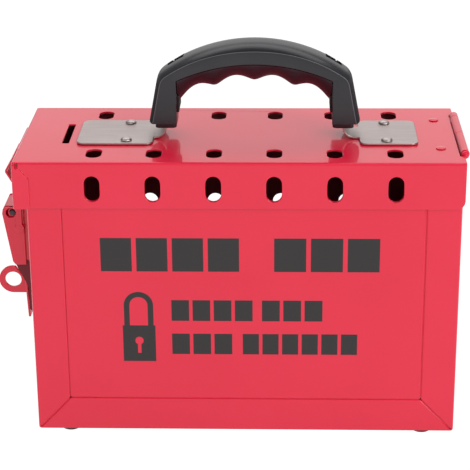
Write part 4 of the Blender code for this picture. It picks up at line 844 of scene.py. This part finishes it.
# %% Grip
FIT = 0.0003
GRIP_DEPTH, GRIP_ENVELOPE = 0.0109, 0.076
GRIP_INSET = 0.0006
GRIP_RIB = 0.0035
SCALLOPS = 4
SCALLOP_RISE_MIDDLE, SCALLOP_RISE_END = 0.0028, 0.0042
CUSP, BELLY_POWER = 0.32, 1.7
GRIP_STATIONS, BELLY_POINTS = 181, 29


def grip_sections():
    """Stations along X; each section has a rounded belly below the rim and a narrower rib above it.

    The belly is half a round, wide * cos(t) across and depth * sin(t) ^ power down. A power over 1 draws it
    in towards a blunt V.
    """
    reach = LEG_INSIDE - FIT
    x = np.linspace(-reach, reach, GRIP_STATIONS)
    top = under_line(x) - FIT
    swing = np.abs(np.sin(math.pi * x / (2 * LEG_INSIDE / SCALLOPS)))
    wave = (np.sqrt(swing ** 2 + CUSP ** 2) - CUSP) / (math.sqrt(1 + CUSP ** 2) - CUSP)
    rise = SCALLOP_RISE_MIDDLE + (SCALLOP_RISE_END - SCALLOP_RISE_MIDDLE) * np.abs(x) / reach
    centre_z = CROWN_TOP - BAND - GRIP_DEPTH - GRIP_ENVELOPE
    under = centre_z + np.sqrt(GRIP_ENVELOPE ** 2 - x ** 2) + rise * wave
    wide = HALF_DEPTH - GRIP_INSET
    rib = HALF_DEPTH - WALL - FIT
    turns = np.linspace(0, math.pi, BELLY_POINTS)
    belly = [(wide * math.cos(t), top - (top - under) * math.sin(t) ** BELLY_POWER, 0) for t in turns]
    corners = [*belly, (-rib, top, 0), (-rib, top + GRIP_RIB, 0), (rib, top + GRIP_RIB, 0), (rib, top, 0)]
    loop = rounded_loop(corners)
    along = np.repeat((HANDLE_X + x)[:, None], loop.shape[1], 1)
    return np.stack([along, loop[..., 0], loop[..., 1]], -1)


grip = settle(skin("handle_grip_moulded", grip_sections(), smooth=50), "handle_grip", grip_plastic)
print("grip faces:", len(grip.data.polygons))

# %% [markdown]
# ## Boots and tongues
# The boots are the blocks at the shell's feet that hold the steel necks. They taper with the legs. A short
# tongue of the grip runs down inside each leg. It is coloured near black as painted shade, so it shows dark.

# %% Boots and tongues
TONGUE_THICK, TONGUE_HALF, TONGUE_ROUND = 0.0012, 0.0088, 0.0006
TONGUE_TOP, TONGUE_BOTTOM = 0.0176, 0.0268
BOOT_ROUND, BOOT_CORNER, BOOT_LEAN = 0.0009, 0.0016, 0.0008
BOOT_WIDER, BOOT_LOWER = 0.0009, 0.0005


def block_sections(low, high, round_low, corner, lean=0.0):
    """A block by levels of Z, with rounded upright edges, a rounded foot, and one side that may lean."""
    turn = np.linspace(0, math.pi / 2, 7)
    z = np.concatenate([low[2] + round_low * (1 - np.cos(turn)), [high[2]]])
    inset = np.concatenate([round_low * (1 - np.sin(turn)), [0.0]])
    share = (z - low[2]) / (high[2] - low[2])
    left = low[0] + inset + share * max(-lean, 0.0)
    right = high[0] - inset - share * max(lean, 0.0)
    near, far = low[1] + inset, high[1] - inset
    corners = [(left, near), (right, near), (right, far), (left, far)]
    loop = rounded_loop([(*place, corner) for place in corners])
    return np.concatenate([loop, np.repeat(z[:, None, None], loop.shape[1], 1)], -1)


for word, side in (("left", -1), ("right", 1)):
    node = "handle_boot_" + word
    low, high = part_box(node)
    low.z -= BOOT_LOWER
    low.x, high.x = (low.x - BOOT_WIDER, high.x) if side < 0 else (low.x, high.x + BOOT_WIDER)
    lean = side * (BOOT_LEAN + (high.z - low.z) * math.tan(LEG_DRAFT))
    settle(skin(node + "_moulded", block_sections(low, high, BOOT_ROUND, BOOT_CORNER, lean)), node)
    ends = sorted((HANDLE_X + side * (LEG_INSIDE - TONGUE_THICK), HANDLE_X + side * (LEG_INSIDE + FIT)))
    low = (ends[0], -TONGUE_HALF, CROWN_TOP - BAND - TONGUE_BOTTOM)
    high = (ends[1], TONGUE_HALF, CROWN_TOP - BAND - TONGUE_TOP)
    tongue = skin("grip_tongue_" + word, block_sections(low, high, TONGUE_ROUND, TONGUE_ROUND))
    # The tongue's near-black colour is painted shade.
    tongue.data.materials.append(deep_shade)
    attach(tongue, "cover")
print("the boots and tongues are made")

# %% [markdown]
# ## Rivets
# A rivet is a profile turned about its own line: a low dome, a shank through both sheets, and a flat tail.
# Each rivet's place, radius and length come from its box in the construction model.

# %% Rivets
PAN, FLAT, ROUND = 0.0010, 0.0005, 0.0014
SHANK, TAIL_RADIUS, TAIL = 0.0014, 0.0022, 0.0007
RIVETS = {
    "hinge_wall_rivet": (("front", "rear"), "X", 1, FLAT),
    "hinge_lid_rivet": (("front", "rear"), "Z", 1, FLAT),
    "latch_base_rivet": (("upper", "front", "rear"), "X", -1, PAN),
    "keeper_rivet": (("front", "rear"), "X", -1, PAN),
    "handle_rivet": (("left_front", "left_rear", "right_front", "right_rear"), "Z", 1, ROUND),
}


def rivet(node, axis, side, dome):
    """Radii and places from the pole of the dome, half an ellipse, down the shank to the tail's end."""
    low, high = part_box(node)
    k = "XYZ".index(axis)
    across = [n for n in range(3) if n != k]
    centre = [(low[n] + high[n]) / 2 for n in across]
    radius = max(high[n] - low[n] for n in across) / 2
    pole, end = (high[k], low[k]) if side > 0 else (low[k], high[k])
    turn = np.linspace(0, math.pi / 2, 10)
    radii = [*(radius * np.sin(turn)), SHANK, SHANK, TAIL_RADIUS, TAIL_RADIUS, 0.0]
    seat, tail = pole - side * dome, end + side * TAIL
    places = [*(pole - side * dome * (1 - np.cos(turn))), seat, tail, tail, end, end]
    settle(turned(node + "_turned", radii, places, centre, axis), node)


for stem, (ends, axis, side, dome) in RIVETS.items():
    for end in ends:
        rivet(stem + "_" + end, axis, side, dome)
print("rivets:", sum(len(ends) for ends, _, _, _ in RIVETS.values()))

# %% [markdown]
# ## Feet
# The feet are turned the same way, from a flat sole out to a bulge and up through the bottom to a barb.

# %% Feet
SOLE_ROUND, SOLE_RISE, FOOT_TOP, STEM_TOP = 0.0016, 0.0018, 0.0027, 0.0045
STEM_RADIUS, BARB_RADIUS = 0.0024, 0.0032


def foot(node):
    """A soft sole, a bulge, a stem through the bottom and a barb."""
    low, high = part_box(node)
    radius = (high.x - low.x) / 2
    turn = np.linspace(0, math.pi / 2, 9)
    sole = radius - SOLE_ROUND + SOLE_ROUND * np.sin(turn)
    rise = SOLE_RISE * (1 - np.cos(turn))
    radii = [0.0, *sole, radius, STEM_RADIUS, STEM_RADIUS, BARB_RADIUS, STEM_RADIUS, 0.0]
    places = [0.0, *rise, FOOT_TOP, FOOT_TOP, STEM_TOP, STEM_TOP, high.z, high.z]
    centre = ((low.x + high.x) / 2, (low.y + high.y) / 2)
    settle(turned(node + "_turned", radii, places, centre, "Z"), node)


for word in ("front_left", "front_right", "rear_left", "rear_right"):
    foot("foot_" + word)
print("the feet are made")

# %% [markdown]
# ## The latch's pivots
# The claw turns on two rivets hammered flat, and the lever on a plain pin coloured near black.

# %% Latch pivots
CAP_RADIUS, CAP_FLAT_SHARE, CAP_RISE, CAP_GAP = 0.00195, 0.9, 0.00004, 0.000005
PIN_RADIUS, PIN_RIM = 0.0015, 0.0002


def flush_rivet(node, side):
    """A rivet hammered flat: a paper thin cap over the hole and a shank behind it."""
    low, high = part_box(node)
    face, end = (low.y, high.y) if side < 0 else (high.y, low.y)
    centre = ((low.x + high.x) / 2, (low.z + high.z) / 2)
    radius = (high.x - low.x) / 2
    under = face + side * CAP_GAP
    radii = [0.0, CAP_RADIUS * CAP_FLAT_SHARE, CAP_RADIUS, radius, radius, 0.0]
    places = [face + side * CAP_RISE, face + side * CAP_RISE, under, under, end, end]
    settle(turned(node + "_turned", radii, places, centre, "Y"), node)


def latch_pin(node):
    """A plain rod between the ends of its node's box, with small rounded rims."""
    low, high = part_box(node)
    centre = ((low.x + high.x) / 2, (low.z + high.z) / 2)
    turn = np.linspace(0, math.pi / 2, 5)
    rim = PIN_RADIUS - PIN_RIM + PIN_RIM * np.sin(turn)
    rise = PIN_RIM * (1 - np.cos(turn))
    radii = [0.0, *rim, *rim[::-1], 0.0]
    places = [low.y, *(low.y + rise), *(high.y - rise[::-1]), high.y]
    settle(turned(node + "_turned", radii, places, centre, "Y"), node, dark_steel)


for word, side in (("front", -1), ("rear", 1)):
    flush_rivet("claw_rivet_" + word, side)
latch_pin("latch_pivot_pin")
print("the latch's pivots are made")

# %% [markdown]
# ## Seams under paint
# Where two sheets meet in one face, the powder coat bridges part of the slit, and the seam shows as a soft
# dark line and not as a black crack. A thin painted strip a little below the face does the bridging.

# %% Seam strips
SEAM_DEPTH, SEAM_THICK, SEAM_HALF = 0.0006, 0.0003, 0.0007
wrap_low, wrap_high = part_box("body_wrap")
FRAME_SIDE, FRAME_BOTTOM, CORNER_HOLE, MITRE_SHORT = 0.0181, 0.019, 0.0009, 0.0016
PANEL_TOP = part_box("front_panel")[1].z


def seam_outlines():
    """Strips along both sides of the panel, under it and along each mitre; the lower corners stay open."""
    window = (wrap_high.x - wrap_low.x) / 2 - FRAME_SIDE
    sill = wrap_low.z + FRAME_BOTTOM
    floor_end = window - CORNER_HOLE
    under, over = sill - SEAM_HALF, sill + SEAM_HALF
    outlines = [[(-floor_end, under), (floor_end, under), (floor_end, over), (-floor_end, over)]]
    upright_low = sill + CORNER_HOLE
    for side in (-1, 1):
        near, far = side * (window - SEAM_HALF), side * (window + SEAM_HALF)
        outlines.append([(near, upright_low), (far, upright_low), (far, PANEL_TOP), (near, PANEL_TOP)])
    for side in (-1, 1):
        inner = np.array([side * window, sill])
        outer = np.array([side * (window + FRAME_SIDE - MITRE_SHORT), wrap_low.z + MITRE_SHORT])
        along = (outer - inner) / np.linalg.norm(outer - inner)
        across = np.array([-along[1], along[0]]) * SEAM_HALF
        inner = inner + along * CORNER_HOLE
        outlines.append([inner + across, inner - across, outer - across, outer + across])
    return [[(PANEL_X + x, z) for x, z in outline] for outline in outlines]


for word, face in (("front", -1), ("rear", 1)):
    surface = face * (wrap_high.y - wrap_low.y) / 2
    levels = sorted((surface - face * SEAM_DEPTH, surface - face * (SEAM_DEPTH + SEAM_THICK)))
    strip = prisms("seam_strip_" + word, seam_outlines(), *levels)
    strip.data.materials.append(paint)
    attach(strip, "box")
print("seam strips are in place")

# %% [markdown]
# ## Webs behind the lever
# The side walls of the latch's base run down behind the lever to the padlock eye. A thin web just inside
# carries each one on. It is painted a dark red all over, as the shade that lies behind the lever.

# %% Latch webs
LID_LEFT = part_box("lid")[0].x
WEB_NEAR, WEB_FAR = 0.00925, 0.0099
# How far out from the lid's left end, and how high above the floor.
WEB_OUTLINE = (
    (-0.0059, 0.1195), (0.0013, 0.1195), (0.0013, 0.0880), (0.0053, 0.0862), (0.0053, 0.0849),
    (0.0070, 0.0849), (0.0013, 0.0725), (0.0007, 0.0700), (0.0007, 0.0580), (-0.0020, 0.0556),
    (-0.0059, 0.0556),
)


def everywhere(place):
    """A mask that is 1 all over."""
    return place.math("ADD", 1.0, 0.0)


# The webs' dark red is painted shade.
shaded_paint = red_paint("red_paint_painted_shade", everywhere, None, PAINT_SHADED)
for word, side in (("front", -1), ("rear", 1)):
    levels = sorted((side * WEB_NEAR, side * WEB_FAR))
    web = prisms("latch_web_" + word, [[(LID_LEFT - out, z) for out, z in WEB_OUTLINE]], *levels)
    web.data.materials.append(shaded_paint)
    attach(web, "box")
print("webs are in place")

# %% [markdown]
# ## The floor
# The camera sees the floor as plain white but for a faint shadow, because a little of it is lit and not
# glowing. Mirrored in the box, it is bright in the middle and dark far to the sides.

# %% Floor
FLOOR_HALF = 3.0
FLOOR_WHITE = (0.93, 0.93, 0.93, 1.0)
FLOOR_SEEN, FLOOR_MIRRORED, FLOOR_DARK, GLOW = 0.98, 0.80, 0.10, 1.06
FLOOR_BAND, EDGE_SOFT = 0.32, 0.12


def ray_kinds(tree):
    """1 for rays from the camera, and 1 for rays from a mirror or glass; soft light is neither."""
    path = tree.nodes.new("ShaderNodeLightPath")
    camera_ray, mirror_ray, glass_ray = (
        Signal(tree, path.outputs[key]) for key in ("Is Camera Ray", "Is Glossy Ray", "Is Transmission Ray")
    )
    return camera_ray, largest(mirror_ray, glass_ray)


def white_floor():
    """A square floor: lit as it is for soft light, and glowing by itself for the camera and for mirrors."""
    mesh = bpy.data.meshes.new("floor")
    corners = [(x * FLOOR_HALF, y * FLOOR_HALF, 0.0) for x, y in ((-1, -1), (1, -1), (1, 1), (-1, 1))]
    mesh.from_pydata(corners, [], [(0, 1, 2, 3)])
    floor = placed("floor", mesh)
    material, shader, place = finish("pale_floor", {"Base Color": FLOOR_WHITE, "Roughness": 0.9})
    tree = place.tree
    glow = tree.nodes.new("ShaderNodeEmission")
    glow.inputs["Strength"].default_value = GLOW
    blend = tree.nodes.new("ShaderNodeMixShader")
    camera_ray, mirror_ray = ray_kinds(tree)
    band = abs(parts_of(place)[0]).below(FLOOR_BAND, EDGE_SOFT)
    mirrored = FLOOR_DARK + (FLOOR_MIRRORED - FLOOR_DARK) * band
    tree.links.new((camera_ray * FLOOR_SEEN + mirror_ray * mirrored).socket, blend.inputs[0])
    tree.links.new(shader.outputs[0], blend.inputs[1])
    tree.links.new(glow.outputs[0], blend.inputs[2])
    tree.links.new(blend.outputs[0], tree.nodes["Material Output"].inputs["Surface"])
    mesh.materials.append(material)


white_floor()
print("the floor is in place")

# %% [markdown]
# ## The light tent
# The world is white for the camera and an even soft light for surfaces. Mirror rays see something else: a
# white backdrop of limited width behind the box, a bright band in front, and a dimmer room round them, which
# gives round black plastic its bright and dark bands.

# %% World
AMBIENT = 0.80
BACKDROP_HALF, BACKDROP_TOP, TOP_SOFT = 0.30, 0.50, 0.35
DIM, BACKDROP_BRIGHT, FRONT_BRIGHT = 0.20, 0.96, 0.95
FRONT_LOW, FRONT_HIGH, FRONT_SIDE = 0.30, 0.72, -0.25


def white_world():
    """One brightness for each kind of ray, added up."""
    world = bpy.data.worlds.new("tent")
    bpy.context.scene.world = world
    world.use_nodes = True
    tree = world.node_tree
    background = tree.nodes["Background"]
    background.inputs["Color"].default_value = (1.0, 1.0, 1.0, 1.0)
    camera_ray, mirror_ray = ray_kinds(tree)
    x, y, z = parts_of(Signal(tree, tree.nodes.new("ShaderNodeTexCoord").outputs["Generated"]))
    width = abs(x).below(BACKDROP_HALF, EDGE_SOFT)
    backdrop = width * z.below(BACKDROP_TOP, TOP_SOFT) * y.above(0.0, EDGE_SOFT)
    band = z.above(FRONT_LOW, EDGE_SOFT) * z.below(FRONT_HIGH, EDGE_SOFT)
    front = y.below(FRONT_SIDE, EDGE_SOFT) * band
    mirrored = DIM + (BACKDROP_BRIGHT - DIM) * backdrop + (FRONT_BRIGHT - DIM) * front
    soft = (1.0 - camera_ray) * (1.0 - mirror_ray) * AMBIENT
    tree.links.new((camera_ray + mirror_ray * mirrored + soft).socket, background.inputs["Strength"])


white_world()
print("the world is in place")

# %% [markdown]
# ## Lamps
# One broad lamp stands in front at the right, and the other above and behind the box.


# %% Lamps
def lamp(name, place, target, size, power):
    """A rectangular lamp of so many watts, turned to face its target."""
    light = bpy.data.lights.new(name, "AREA")
    light.shape = "RECTANGLE"
    light.size, light.size_y = size
    light.energy = power
    thing = placed(name, light)
    thing.location = place
    thing.rotation_euler = (Vector(place) - Vector(target)).to_track_quat("Z", "Y").to_euler()


lamp("broad_lamp", place=(1.1, -1.1, 1.0), target=(0.0, 0.0, 0.08), size=(1.2, 0.9), power=10.0)
lamp("rear_lamp", place=(0.05, 0.72, 1.30), target=(0.0, 0.0, 0.15), size=(1.5, 0.8), power=5.6)
bpy.context.scene.view_settings.view_transform = "Standard"
print("the lamps are in place")
